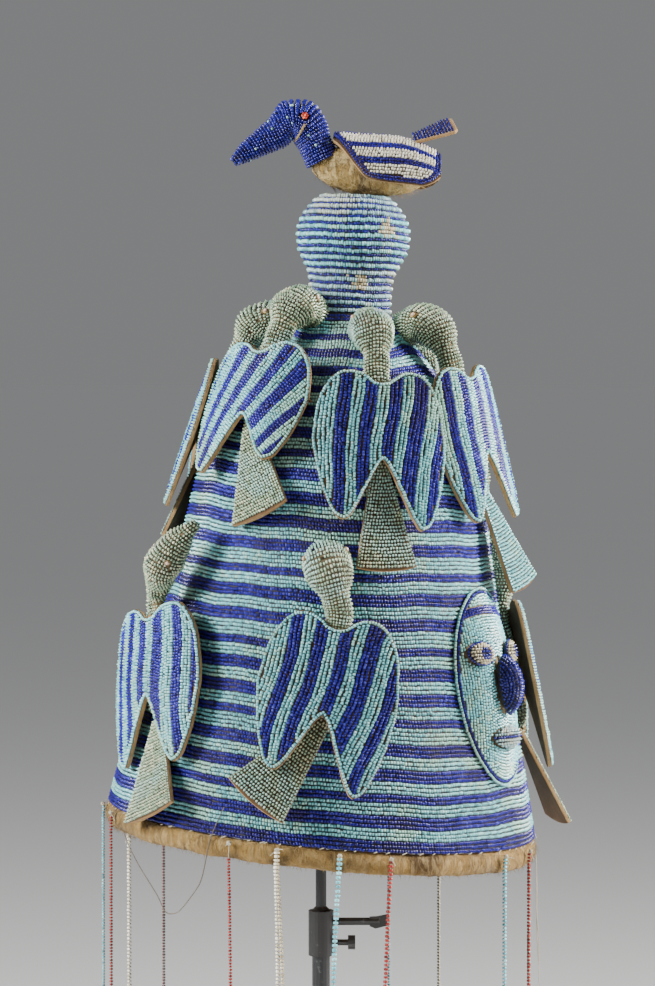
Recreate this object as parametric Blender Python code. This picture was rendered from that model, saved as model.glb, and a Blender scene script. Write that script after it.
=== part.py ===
"""A tall beaded crown with birds on it, held up on a plain post with a round foot.

Metres, +Z up. The origin is the middle of the foot's underside, and the crown's face looks along -Y.
Angles round the crown start at the face and grow towards +X.
"""
import math
from collections import namedtuple

import bmesh
import bpy
import numpy as np
from mathutils import Matrix, Vector

MM = 0.001
GAP = 0.3 * MM

# The stand
FOOT_SPREAD = 135 * MM
FOOT_THICK = 8 * MM
POST_RADIUS = 5 * MM
ROD_RADIUS = 3 * MM
BALL_RADIUS = 6 * MM
COLLAR_RADIUS = 7 * MM
COLLAR_HEIGHT = 25 * MM
COLLAR_DROP = 46 * MM
SCREW_RADIUS = 2.2 * MM
SCREW_REACH = 38 * MM
KNOB_RADIUS = 4 * MM
KNOB_REACH = 19 * MM

# The crown's shell
RIM_HEIGHT = 400 * MM
CONE_HEIGHT = 279.5 * MM
CONE_RADIUS = 117.7 * MM
NECK_RADIUS = 22.1 * MM
CONE_WALL = 3 * MM
CONE_SIDES = 40
BAND_HEIGHT = 12 * MM
BAND_DEPTH = 8 * MM
BAND_PROUD = 1.7 * MM
CROWN_LEAN = math.radians(3.1)
LEAN_ANGLE = math.radians(30)
RIM_DROOP = 4.5 * MM

# The finial and the bird on it
FINIAL_HEIGHT = 64 * MM
FINIAL_RADIUS = 30.3 * MM
FINIAL_SIDES = 24
TOP_BIRD_LENGTH = 67 * MM
TOP_BIRD_HEIGHT = 31 * MM
TOP_BIRD_WIDTH = 26 * MM
TOP_BIRD_ANGLE = math.radians(-150)
TOP_BIRD_SIDES = 12
TOP_HEAD_DEPTH = 22 * MM
TOP_BEAK_LENGTH = 39 * MM
SADDLE_THICK = 2.5 * MM
SADDLE_SPREAD = 1.36
TOP_TAIL_LENGTH = 24 * MM
TOP_TAIL_WIDTH = 21 * MM
TOP_TAIL_THICK = 2.5 * MM

# The two tiers of birds
WING_THICK = 2.5 * MM
TAIL_THICK = 2.8 * MM
TORSO_WIDTH = 19 * MM
TORSO_DEPTH = 10.4 * MM
HEAD_WIDTH = 27 * MM
BODY_SIDES = 10

# The face
FACE_HEIGHT = 104 * MM
FACE_WIDTH = 64 * MM
FACE_EDGE = 1.5 * MM
FACE_DOME = 6 * MM
FACE_LEVEL = 0.30

# The veil
STRING_LENGTH = 335 * MM
LEAN_REACH = 90 * MM

ProfileRow = namedtuple("ProfileRow", "height spread")
WingRow = namedtuple("WingRow", "across top foot")
TorsoRow = namedtuple("TorsoRow", "up width depth")
NeckRow = namedtuple("NeckRow", "run turn width depth")
Tier = namedtuple("Tier", "span height bend tail_length tail_width neck_rise")
BirdRow = namedtuple(
    "BirdRow", "name tier angle level size flare swing tail_flare nod twist skew reach bow breadth yaw head")
SaddleRow = namedtuple("SaddleRow", "along crest side")
HeadRow = namedtuple("HeadRow", "along up tilt width depth")
PatchRow = namedtuple("PatchRow", "name across up width height rise")
StringRow = namedtuple("StringRow", "name angle start thick lean share colour")

# Height as a share of the cone's, spread as a share from the neck's radius to the foot's
CONE_PROFILE = [
    ProfileRow(0.000, 1.000), ProfileRow(0.031, 0.982), ProfileRow(0.137, 0.914),
    ProfileRow(0.206, 0.867), ProfileRow(0.330, 0.787), ProfileRow(0.475, 0.695),
    ProfileRow(0.585, 0.636), ProfileRow(0.676, 0.584), ProfileRow(0.782, 0.469),
    ProfileRow(0.880, 0.301), ProfileRow(0.959, 0.104), ProfileRow(1.000, 0.000),
]
CONE_OUTER_LEVELS = [0, 0.14, 0.30, 0.46, 0.60, 0.70, 0.78, 0.85, 0.905, 0.95, 0.98, 1]
CONE_INNER_LEVELS = [0, 0.30, 0.60, 0.78, 0.86, 0.93]

# Height as a share of the finial's, spread as a share of its widest radius
FINIAL_PROFILE = [
    ProfileRow(0.000, 0.729), ProfileRow(0.137, 0.719), ProfileRow(0.302, 0.739),
    ProfileRow(0.370, 0.785), ProfileRow(0.450, 0.875), ProfileRow(0.562, 0.977),
    ProfileRow(0.690, 1.000), ProfileRow(0.795, 0.947), ProfileRow(0.905, 0.802),
    ProfileRow(0.975, 0.657), ProfileRow(1.000, 0.548),
]

# Across as a share of half the span, top and foot as shares of the wings' height
WING_OUTLINE = [
    WingRow(0.00, 0.385, -0.085), WingRow(0.10, 0.395, -0.150), WingRow(0.21, 0.430, -0.250),
    WingRow(0.32, 0.455, -0.350), WingRow(0.44, 0.465, -0.450), WingRow(0.57, 0.458, -0.510),
    WingRow(0.70, 0.425, -0.480), WingRow(0.82, 0.360, -0.375), WingRow(0.92, 0.265, -0.235),
    WingRow(1.00, 0.060, -0.040),
]

# Up as a share of the wings' height, width and depth as shares of the torso's
TORSO_SECTIONS = [
    TorsoRow(-0.065, 0.45, 0.50), TorsoRow(-0.030, 0.78, 0.85), TorsoRow(0.08, 1.00, 1.00),
    TorsoRow(0.22, 0.95, 1.00), TorsoRow(0.370, 0.80, 0.90),
]

# Run, width and depth as shares of the head's width, turn as a share of the bird's nod
NECK_SECTIONS = [
    NeckRow(0.36, 0.00, 0.56, 0.46), NeckRow(0.40, 0.00, 0.58, 0.56),
    NeckRow(0.26, 0.05, 0.82, 0.80), NeckRow(0.30, 0.22, 1.00, 0.97),
    NeckRow(0.30, 0.50, 0.96, 0.93), NeckRow(0.28, 0.78, 0.76, 0.72),
    NeckRow(0.24, 0.95, 0.54, 0.50), NeckRow(0.20, 1.00, 0.36, 0.34),
    NeckRow(0.10, 1.00, 0.20, 0.20),
]

UPPER = Tier(span=74 * MM, height=88 * MM, bend=76 * MM, tail_length=56 * MM,
             tail_width=33 * MM, neck_rise=-8)
LOWER = Tier(span=75 * MM, height=98 * MM, bend=114 * MM, tail_length=56 * MM,
             tail_width=36 * MM, neck_rise=20)

# Angles in degrees, level as a share of the cone's height, size as a share of the tier's,
# skew and reach (how far the body runs down past the wings' notch) as shares of the wings' height,
# bow the neck's lean to the side in degrees, breadth a share of the tier's span and tail width,
# yaw the bird's turn about its own length in degrees, head a share of the usual head's width
BIRDS = [
    BirdRow("upper1", UPPER, 11, 0.758, 1.00, -6, 12, 6, 110, 0, 0.000, 0.22, 0, 1.00, -12, 0.90),
    BirdRow("upper2", UPPER, 73, 0.745, 0.96, -6, -3, 0, 110, 0, 0.000, 0.00, 0, 1.00, 0, 0.95),
    BirdRow("upper3", UPPER, 131, 0.745, 0.96, -6, 3, 0, 110, 0, 0.000, 0.00, 0, 1.00, 0, 0.95),
    BirdRow("upper4", UPPER, -166, 0.745, 1.00, -6, 10, 0, 110, 0, 0.000, 0.00, 0, 1.00, 0, 0.95),
    BirdRow("upper5", UPPER, -104, 0.800, 0.88, -6, 24, -4, 120, 3, -0.110, 0.00, 0, 1.14, 0, 0.91),
    BirdRow("upper6", UPPER, -45.5, 0.739, 1.00, -6, 3, 0, 100, 0, 0.055, 0.00, 0, 1.00, 0, 0.87),
    BirdRow("lower1", LOWER, 47, 0.285, 1.00, 3, 0, 13, 110, 0, 0.000, 0.22, 0, 1.00, 0, 0.95),
    BirdRow("lower2", LOWER, 104, 0.285, 1.00, 4, 4, 2, 90, 0, 0.000, 0.00, 0, 1.00, 0, 0.95),
    BirdRow("lower3", LOWER, 172, 0.285, 1.00, 4, -4, 2, 90, 0, 0.000, 0.00, 0, 1.00, 0, 0.95),
    BirdRow("lower4", LOWER, -119, 0.262, 0.90, -6, 12, 13, 45, 13, 0.000, 0.12, 42, 1.20, 3, 0.74),
    BirdRow("lower5", LOWER, -61, 0.263, 0.98, 4, -31, 0, 120, -6, 0.090, 0.00, -22, 1.02, 0, 0.95),
]

# Along and side as shares of the top bird's length and height
SADDLE_SECTIONS = [
    SaddleRow(0.209, 1.106, 0.065), SaddleRow(0.119, 1.113, 0.26), SaddleRow(0.000, 1.105, 0.58),
    SaddleRow(-0.090, 1.100, 0.77), SaddleRow(-0.224, 1.100, 0.82), SaddleRow(-0.373, 1.070, 0.81),
    SaddleRow(-0.522, 0.980, 0.74), SaddleRow(-0.627, 0.880, 0.56), SaddleRow(-0.687, 0.800, 0.36),
]

# Along and up as shares of the top bird's head depth from the neck's root, tilt in degrees
TOP_NECK_SECTIONS = [
    HeadRow(0.00, 0.00, 28, 0.78, 0.80), HeadRow(0.20, 0.38, 28, 0.76, 0.78),
    HeadRow(0.36, 0.72, 40, 0.90, 0.92), HeadRow(0.58, 0.98, 75, 0.98, 1.00),
    HeadRow(0.86, 0.99, 112, 0.90, 0.93),
]
# Along as a share of the beak's length from the brow, the others as shares of the head's depth
TOP_BEAK_SECTIONS = [
    HeadRow(0.22, 0.66, 122, 0.68, 0.77), HeadRow(0.50, 0.38, 126, 0.52, 0.60),
    HeadRow(0.78, 0.10, 130, 0.40, 0.43), HeadRow(1.00, -0.16, 134, 0.16, 0.17),
]

# Across and up from the face's middle, as shares of its width and height; sizes likewise
FACE_PATCHES = [
    PatchRow("face_nose", 0.00, 0.00, 0.21, 0.30, 12 * MM),
    PatchRow("face_eye_left", -0.24, 0.16, 0.28, 0.12, 6 * MM),
    PatchRow("face_eye_right", 0.24, 0.16, 0.28, 0.12, 6 * MM),
    PatchRow("face_mouth", 0.00, -0.26, 0.42, 0.11, 6 * MM),
]

# Angle and lean in degrees, share of the full length; a positive lean swings towards the lean angle
STRINGS = [
    StringRow("string01", -146, "face", 2.2 * MM, 0, 1.00, "turquoise"),
    StringRow("string02", -131, "face", 2.3 * MM, 0, 0.99, "red"),
    StringRow("string03", -124, "under", 2.7 * MM, 0, 1.01, "white"),
    StringRow("string04", 172, "under", 2.3 * MM, 0, 0.98, "dark_red"),
    StringRow("string05", -83.5, "face", 2.3 * MM, 1.2, 1.00, "red"),
    StringRow("string06", -71, "face", 2.7 * MM, 2.6, 1.00, "white"),
    StringRow("string07", -55.5, "face", 3.3 * MM, -3.9, 1.02, "turquoise"),
    StringRow("string08", -42.5, "face", 3.0 * MM, -3.4, 0.99, "red"),
    StringRow("string09", 99.5, "under", 2.4 * MM, 0, 0.97, "turquoise"),
    StringRow("string10", 83, "under", 2.5 * MM, 0, 1.01, "cream"),
    StringRow("string11", -5.5, "face", 2.7 * MM, 0, 1.00, "turquoise"),
    StringRow("string12", 9.5, "face", 2.6 * MM, 0, 1.00, "red"),
    StringRow("string13", 43, "face", 2.6 * MM, 0, 0.98, "mixed"),
]
PAIR_STRING = "string06"
PAIR_SPREAD = 3.4 * MM

CONE_FOOT = BAND_HEIGHT / 2 + GAP
CONE_TOP = CONE_FOOT + CONE_HEIGHT
BAND_RADIUS = CONE_RADIUS + BAND_PROUD


def clear_scene():
    for piece in list(bpy.data.objects):
        bpy.data.objects.remove(piece, do_unlink=True)


def finish(name, colour, roughness, metallic=0.0):
    """A plain material of one colour."""
    material = bpy.data.materials.new(name)
    material.use_nodes = True
    shader = material.node_tree.nodes["Principled BSDF"]
    shader.inputs["Base Color"].default_value = (*colour, 1)
    shader.inputs["Roughness"].default_value = roughness
    shader.inputs["Metallic"].default_value = metallic
    return material


def make_finishes():
    return {
        "shell": finish("banded_beads", (0.10, 0.24, 0.42), 0.35),
        "wing": finish("striped_beads", (0.09, 0.16, 0.50), 0.35),
        "body": finish("grey_green_beads", (0.22, 0.36, 0.33), 0.40),
        "face": finish("face_beads", (0.16, 0.42, 0.44), 0.35),
        "blue": finish("dark_blue_beads", (0.03, 0.04, 0.28), 0.35),
        "hide": finish("tan_hide", (0.45, 0.27, 0.11), 0.75),
        "steel": finish("black_steel", (0.012, 0.012, 0.013), 0.45, 0.6),
        "turquoise": finish("turquoise_string", (0.16, 0.50, 0.55), 0.30),
        "red": finish("red_string", (0.36, 0.03, 0.02), 0.30),
        "dark_red": finish("dark_red_string", (0.16, 0.02, 0.02), 0.30),
        "white": finish("white_string", (0.72, 0.68, 0.58), 0.35),
        "cream": finish("cream_string", (0.62, 0.52, 0.36), 0.35),
        "mixed": finish("mixed_string", (0.30, 0.12, 0.12), 0.30),
    }


def smooth(xs, ys, x):
    """Read a table at x along a curve that keeps the table's rises and falls."""
    xs, ys = np.array(xs, float), np.array(ys, float)
    x = float(np.clip(x, xs[0], xs[-1]))
    steps = np.diff(ys) / np.diff(xs)
    slopes = np.zeros(len(xs))
    slopes[0], slopes[-1] = steps[0], steps[-1]
    for i in range(1, len(xs) - 1):
        if steps[i - 1] * steps[i] > 0:
            slopes[i] = 2 * steps[i - 1] * steps[i] / (steps[i - 1] + steps[i])
    i = int(np.clip(np.searchsorted(xs, x) - 1, 0, len(xs) - 2))
    width = xs[i + 1] - xs[i]
    t = (x - xs[i]) / width
    return float(ys[i] * (1 + 2 * t) * (1 - t) ** 2 + slopes[i] * width * t * (1 - t) ** 2
                 + ys[i + 1] * t * t * (3 - 2 * t) + slopes[i + 1] * width * t * t * (t - 1))


def column(rows, name):
    return [getattr(row, name) for row in rows]


def direction(angle):
    """The level direction at an angle round the crown."""
    return Vector((math.sin(angle), -math.cos(angle), 0))


def crown_radius(height):
    """The shell's outer radius at a height above the rim's middle."""
    share = (height - CONE_FOOT) / CONE_HEIGHT
    spread = smooth(column(CONE_PROFILE, "height"), column(CONE_PROFILE, "spread"), share)
    return NECK_RADIUS + spread * (CONE_RADIUS - NECK_RADIUS)


def settle(point):
    """Let the rim sag on the side that the crown leans to."""
    share = 1 - min(point.z / CONE_TOP, 1)
    side = math.hypot(point.x, point.y) / CONE_RADIUS
    if side < 1e-6:
        return point.copy()
    facing = Vector((point.x, point.y, 0)).normalized().dot(direction(LEAN_ANGLE))
    return point - Vector((0, 0, RIM_DROOP * facing * side * share ** 2))


def crown_axes(height, angle):
    """The directions across, up the slope and out of the shell at a place on it."""
    step = 1 * MM
    slope = (crown_radius(height + step) - crown_radius(height - step)) / (2 * step)
    out = direction(angle)
    up = (Vector((0, 0, 1)) + slope * out).normalized()
    across = Vector((math.cos(angle), math.sin(angle), 0))
    return across, up, across.cross(up)


def crown_point(height, angle, out=0.0):
    """A point at a height, an angle and a distance out from the shell's surface."""
    normal = crown_axes(height, angle)[2]
    return settle(direction(angle) * crown_radius(height) + Vector((0, 0, height)) + normal * out)


def crown_frame(height, angle):
    across, up, out = crown_axes(height, angle)
    frame = Matrix((across, up, out)).transposed().to_4x4()
    frame.translation = crown_point(height, angle)
    return frame


def lean_turn():
    axis = Vector((math.cos(LEAN_ANGLE), math.sin(LEAN_ANGLE), 0))
    return Matrix.Rotation(CROWN_LEAN, 4, axis)


def seat_matrix():
    return Matrix.Translation((0, 0, RIM_HEIGHT)) @ lean_turn()


def new_empty(name, parent=None, matrix=None):
    empty = bpy.data.objects.new(name, None)
    bpy.context.collection.objects.link(empty)
    empty.parent = parent
    if matrix is not None:
        empty.matrix_basis = matrix
    return empty


def place(name, bm, material, parent, smooth_angle=40):
    """Turn a bmesh into an object with smooth faces and sharp edges past an angle."""
    bmesh.ops.remove_doubles(bm, verts=bm.verts, dist=1e-7)
    bmesh.ops.recalc_face_normals(bm, faces=bm.faces)
    mesh = bpy.data.meshes.new(name)
    bm.to_mesh(mesh)
    bm.free()
    mesh.shade_smooth()
    mesh.set_sharp_from_angle(angle=math.radians(smooth_angle))
    mesh.materials.append(material)
    piece = bpy.data.objects.new(name, mesh)
    bpy.context.collection.objects.link(piece)
    piece.parent = parent
    return piece


def hide_cutter(piece):
    piece.hide_render = True
    piece.display_type = "WIRE"


def cut(piece, cutter, operation="DIFFERENCE"):
    boolean = piece.modifiers.new("fit", "BOOLEAN")
    boolean.operation = operation
    boolean.solver = "EXACT"
    boolean.object = cutter


def skin(rings, closed=False):
    """Join rings of points into one skin, with a face over each end unless it closes on itself."""
    bm = bmesh.new()
    loops = [[bm.verts.new(point) for point in ring] for ring in rings]
    pairs = list(zip(loops, loops[1:]))
    if closed:
        pairs.append((loops[-1], loops[0]))
    for lower, upper in pairs:
        count = len(lower)
        for i in range(count):
            j = (i + 1) % count
            bm.faces.new((lower[i], lower[j], upper[j], upper[i]))
    if not closed:
        bm.faces.new(list(reversed(loops[0])))
        bm.faces.new(loops[-1])
    return bm


def turned(profile, sides):
    """Rings of a turned shape from its radius and height pairs."""
    rings = []
    for radius, height in profile:
        rings.append([direction(2 * math.pi * i / sides) * radius + Vector((0, 0, height))
                      for i in range(sides)])
    return rings


def oval(centre, side, rise, half_width, half_depth, sides):
    """A ring round a centre in the plane of two directions."""
    points = []
    for i in range(sides):
        t = 2 * math.pi * (i + 0.5) / sides
        points.append(centre + side * (half_width * math.cos(t)) + rise * (half_depth * math.sin(t)))
    return points


def inner_profile():
    """The hollow's radius and height pairs, from the foot to the flat under the top."""
    pairs = []
    for level in CONE_INNER_LEVELS:
        height = CONE_FOOT + level * CONE_HEIGHT
        normal = crown_axes(height, 0)[2]
        inward = -normal * CONE_WALL if level > 0 else direction(0) * -CONE_WALL
        radius = crown_radius(height) + inward.dot(direction(0))
        pairs.append((radius, height + inward.z))
    last_radius, last_height = pairs[-1]
    roof = CONE_TOP - CONE_WALL
    if last_height < roof:
        pairs.append((max(last_radius - (roof - last_height), 0.6 * last_radius), roof))
    return pairs


def build_cone(finishes, seat):
    outer = [(crown_radius(CONE_FOOT + level * CONE_HEIGHT), CONE_FOOT + level * CONE_HEIGHT)
             for level in CONE_OUTER_LEVELS]
    rings = turned(list(reversed(inner_profile())) + outer, CONE_SIDES)
    rings = [[settle(point) for point in ring] for ring in rings]
    return place("cone", skin(rings), finishes["shell"], seat)


def build_band(finishes, seat):
    """The padded roll under the shell's foot."""
    middle = BAND_RADIUS - BAND_DEPTH / 2
    half = BAND_HEIGHT / 2
    section = [(0.5, -0.5), (0.5, 0.5), (0.22, 1.0), (-0.32, 1.0), (-0.5, 0.0), (-0.32, -1.0),
               (0.22, -1.0)]
    rings = turned([(middle + BAND_DEPTH * x, half * z) for x, z in section], CONE_SIDES)
    rings = [[settle(point) for point in ring] for ring in rings]
    return place("rim_band", skin(rings, closed=True), finishes["hide"], seat)


def build_finial(finishes, seat):
    base = CONE_TOP + GAP
    profile = [(FINIAL_RADIUS * row.spread, base + FINIAL_HEIGHT * row.height)
               for row in FINIAL_PROFILE]
    return place("finial", skin(turned(profile, FINIAL_SIDES)), finishes["shell"], seat)


def build_clearance(seat):
    """A hidden solid of the shell and the finial, grown by the gap, that trims what lies on them."""
    heights = [CONE_FOOT + level * CONE_HEIGHT for level in CONE_OUTER_LEVELS]
    profile = [(crown_radius(height) + 2 * GAP, height) for height in heights]
    profile[0] = (profile[0][0], CONE_FOOT - BAND_HEIGHT)
    profile[-1] = (profile[-1][0], CONE_TOP + 2 * GAP)
    profile += [(FINIAL_RADIUS * row.spread + 2 * GAP, CONE_TOP + 3 * GAP + FINIAL_HEIGHT * row.height)
                for row in FINIAL_PROFILE]
    rings = turned(profile, CONE_SIDES)
    rings = [[settle(point) for point in ring] for ring in rings]
    cutter = place("crown_clearance", skin(rings), bpy.data.materials["banded_beads"], seat)
    hide_cutter(cutter)
    return cutter


def build_wings(row, finishes, bird):
    """A heart-shaped plate bent round the bird's back."""
    tier = row.tier
    half = row.breadth * row.size * tier.span / 2
    tall = row.size * tier.height
    floor = 0.97 * TORSO_DEPTH + 3 * GAP
    shares = column(WING_OUTLINE, "across")
    stations = [-s for s in reversed(shares[1:])] + shares
    tops = column(WING_OUTLINE, "top")
    feet = column(WING_OUTLINE, "foot")
    rings = []
    for share in stations:
        i = shares.index(abs(share))
        turn = share * half / tier.bend
        skewed = row.skew * min(abs(share) / 0.57, 1) * math.copysign(1, share)
        levels = (tops[i] * tall, (feet[i] - min(skewed, 0)) * tall)
        ring = []
        for level, layer in ((levels[0], 0), (levels[1], 0), (levels[1], 1), (levels[0], 1)):
            radius = tier.bend + layer * WING_THICK
            ring.append(Vector((radius * math.sin(turn), level,
                                floor + radius * math.cos(turn) - tier.bend)))
        rings.append(ring)
    return place(row.name + "_wings", skin(rings), finishes["wing"], bird)


def build_body(row, finishes, bird, clearance):
    """A stuffed torso, neck and nodding head in one skin."""
    tier = row.tier
    tall = row.size * tier.height
    rings = []
    side = Vector((1, 0, 0))
    rest = TORSO_DEPTH / 2
    for section in TORSO_SECTIONS:
        reach = row.reach if section.up < 0 else 0
        centre = Vector((0, (section.up - reach) * tall, rest))
        rings.append(oval(centre, side, Vector((0, 0, 1)), section.width * TORSO_WIDTH / 2,
                          section.depth * TORSO_DEPTH / 2, BODY_SIDES))
    centre = Vector((0, TORSO_SECTIONS[-1].up * tall, rest))
    for number, section in enumerate(NECK_SECTIONS):
        heading = math.radians(tier.neck_rise - section.turn * row.nod)
        lean = Matrix.Rotation(math.radians(-row.bow * min(number, 1)), 4, "Z")
        side = lean @ Vector((1, 0, 0))
        forward = lean @ Vector((0, math.cos(heading), math.sin(heading)))
        outward = lean @ Vector((0, -math.sin(heading), math.cos(heading)))
        centre = centre + forward * (section.run * HEAD_WIDTH)
        rings.append(oval(centre, side, outward, section.width * row.head * HEAD_WIDTH / 2,
                          section.depth * row.head * HEAD_WIDTH / 2, BODY_SIDES))
    body = place(row.name + "_body", skin(rings), finishes["body"], bird, 60)
    cut(body, clearance)
    return body


def build_tail(row, finishes, bird):
    """A flat fan that hangs from under the wings."""
    tier = row.tier
    root = 4.5 * MM
    tall = row.size * tier.height
    pivot = Vector((0, (TORSO_SECTIONS[0].up - row.reach) * tall - GAP - root, 0))
    outline = []
    for i in range(5):
        t = math.radians(-10 + 50 * i)
        outline.append((root * math.cos(t), root * math.sin(t)))
    half = row.breadth * tier.tail_width / 2
    length = tier.tail_length
    outline += [(-half, -0.96 * length), (-0.5 * half, -length), (0.5 * half, -length),
                (half, -0.96 * length)]
    turn = Matrix.Rotation(math.radians(row.swing), 4, "Z")
    flare = Matrix.Rotation(math.radians(-row.tail_flare), 4, "X")
    rings = []
    for layer in (0, 1):
        height = TORSO_DEPTH * 0.45 + (layer - 0.5) * TAIL_THICK
        rings.append([pivot + flare @ (turn @ Vector((x, y, 0))) + Vector((0, 0, height))
                      for x, y in outline])
    return place(row.name + "_tail", skin(rings), finishes["body"], bird)


def build_birds(finishes, seat, clearance):
    for row in BIRDS:
        height = CONE_FOOT + row.level * CONE_HEIGHT
        lift = max(math.sin(math.radians(row.flare)), 0) * TORSO_SECTIONS[-1].up * row.tier.height
        frame = crown_frame(height, math.radians(row.angle))
        frame = frame @ Matrix.Translation((0, 0, lift))
        frame = frame @ Matrix.Rotation(math.radians(-row.flare), 4, "X")
        frame = frame @ Matrix.Rotation(math.radians(row.yaw), 4, "Y")
        frame = frame @ Matrix.Rotation(math.radians(row.twist), 4, "Z")
        bird = new_empty(row.name + "_seat", seat, frame)
        build_body(row, finishes, bird, clearance)
        build_wings(row, finishes, bird)
        build_tail(row, finishes, bird)


def build_top_bird(finishes, seat):
    """The bird that stands on the finial, beak forward along its own +X."""
    place_at = Matrix.Translation((0, 0, CONE_TOP + FINIAL_HEIGHT + 2 * GAP))
    ahead = direction(TOP_BIRD_ANGLE)
    turn = Matrix.Rotation(math.atan2(ahead.y, ahead.x), 4, "Z")
    bird = new_empty("top_bird_seat", seat, place_at @ turn)
    side, up = Vector((0, 1, 0)), Vector((0, 0, 1))
    half_length, half_height = TOP_BIRD_LENGTH / 2, TOP_BIRD_HEIGHT / 2
    middle = Vector((-0.127 * TOP_BIRD_LENGTH, 0, half_height * math.cos(math.pi / TOP_BIRD_SIDES)))
    rings = []
    for degrees in (8, 30, 55, 80, 105, 130, 152, 172):
        t = math.radians(degrees)
        centre = middle + Vector((half_length * math.cos(t), 0, 0))
        rings.append(oval(centre, side, up, TOP_BIRD_WIDTH / 2 * math.sin(t),
                          half_height * math.sin(t), TOP_BIRD_SIDES))
    place("top_bird_body", skin(rings), finishes["hide"], bird, 60)

    grown = []
    for degrees in (8, 30, 55, 80, 105, 130, 152, 172):
        t = math.radians(degrees)
        centre = middle + Vector(((half_length + 3 * GAP) * math.cos(t), 0, 0))
        grown.append(oval(centre, side, up, (TOP_BIRD_WIDTH / 2 + 3 * GAP) * math.sin(t),
                          (half_height + 3 * GAP) * math.sin(t), TOP_BIRD_SIDES))
    cutter = place("top_body_clearance", skin(grown), finishes["hide"], bird)
    hide_cutter(cutter)

    root = middle + Vector((0.41 * TOP_BIRD_LENGTH, 0, 0.11 * TOP_BIRD_HEIGHT))
    rings = []
    for row in TOP_NECK_SECTIONS:
        centre = root + Vector((row.along * TOP_HEAD_DEPTH, 0, row.up * TOP_HEAD_DEPTH))
        tilt = math.radians(row.tilt)
        rise = Vector((-math.cos(tilt), 0, math.sin(tilt)))
        rings.append(oval(centre, side, rise, row.width * TOP_HEAD_DEPTH / 2,
                          row.depth * TOP_HEAD_DEPTH / 2, TOP_BIRD_SIDES))
    brow = root + Vector((0.86 * TOP_HEAD_DEPTH, 0, 0))
    for row in TOP_BEAK_SECTIONS:
        centre = brow + Vector((row.along * TOP_BEAK_LENGTH * 0.78, 0, row.up * TOP_HEAD_DEPTH))
        tilt = math.radians(row.tilt)
        rise = Vector((-math.cos(tilt), 0, math.sin(tilt)))
        rings.append(oval(centre, side, rise, row.width * TOP_HEAD_DEPTH / 2,
                          row.depth * TOP_HEAD_DEPTH / 2, TOP_BIRD_SIDES))
    head = place("top_bird_head", skin(rings), finishes["blue"], bird, 60)
    cut(head, cutter)

    build_saddle(finishes, bird)
    build_top_tail(finishes, bird)


def saddle_section(row, layer):
    """Half an oval arch across the bird's back, down to the row's depth at each side."""
    crest = row.crest * TOP_BIRD_HEIGHT + (layer - 1) * SADDLE_THICK
    half_width = SADDLE_SPREAD * TOP_BIRD_WIDTH / 2 + SADDLE_THICK * layer
    depth = row.side * TOP_BIRD_HEIGHT
    reach = math.acos(max(1 - depth / crest, -1))
    points = []
    for i in range(7):
        t = reach * (i / 3 - 1)
        points.append((half_width * math.sin(t), crest * math.cos(t)))
    return points


def build_saddle(finishes, bird):
    """The striped wings, one arched plate over the bird's back."""
    rings = []
    for row in SADDLE_SECTIONS:
        along = row.along * TOP_BIRD_LENGTH
        outer = saddle_section(row, 1)
        inner = saddle_section(row, 0)
        rings.append([Vector((along, y, z)) for y, z in outer + inner[::-1]])
    return place("top_bird_wings", skin(rings), finishes["wing"], bird, 50)


def build_top_tail(finishes, bird):
    """A small plate that rises behind the wings."""
    rise = math.radians(22)
    back = Vector((-math.cos(rise), 0, math.sin(rise)))
    up = Vector((math.sin(rise), 0, math.cos(rise)))
    roll = Matrix.Rotation(math.radians(24), 3, back)
    side = roll @ Vector((0, 1, 0))
    up = roll @ up
    root = Vector((-0.46 * TOP_BIRD_LENGTH, 0, 1.035 * TOP_BIRD_HEIGHT))
    outline = [(0.0, -0.30), (0.0, 0.30), (0.55, 0.44), (0.92, 0.52), (1.0, 0.40), (1.0, -0.40),
               (0.92, -0.52), (0.55, -0.44)]
    rings = []
    for layer in (0, 1):
        rings.append([root + back * (x * TOP_TAIL_LENGTH) + side * (y * TOP_TAIL_WIDTH)
                      + up * (layer * TOP_TAIL_THICK) for x, y in outline])
    return place("top_bird_tail", skin(rings), finishes["blue"], bird)


def face_rise(across, up):
    """How far the face stands out, from shares of its half width and half height."""
    spread = min(across * across + up * up, 1)
    return FACE_EDGE + FACE_DOME * (1 - spread)


def face_point(across, up, out):
    """A point over the face from distances across and up from its middle."""
    height = CONE_FOOT + FACE_LEVEL * CONE_HEIGHT + up
    return crown_point(height, across / crown_radius(height), out)


def build_patch(name, centre, half, floor, rise, finishes, seat, sides=12):
    """A domed oval pad: a back that follows what carries it, and a rounded front."""
    steps = [(1.0, 0.0), (0.93, 0.42), (0.72, 0.75), (0.40, 0.95)]
    rings = []
    for share, lift in [(0.5, None), (1.0, None)] + steps[1:]:
        ring = []
        for i in range(sides):
            t = 2 * math.pi * i / sides
            across = centre[0] + half[0] * share * math.cos(t)
            up = centre[1] + half[1] * share * math.sin(t)
            height = 0 if lift is None else rise * lift
            ring.append(face_point(across, up, floor(across, up) + height))
        rings.append(ring)
    return place(name, skin(rings), finishes["face"], seat, 60)


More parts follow.
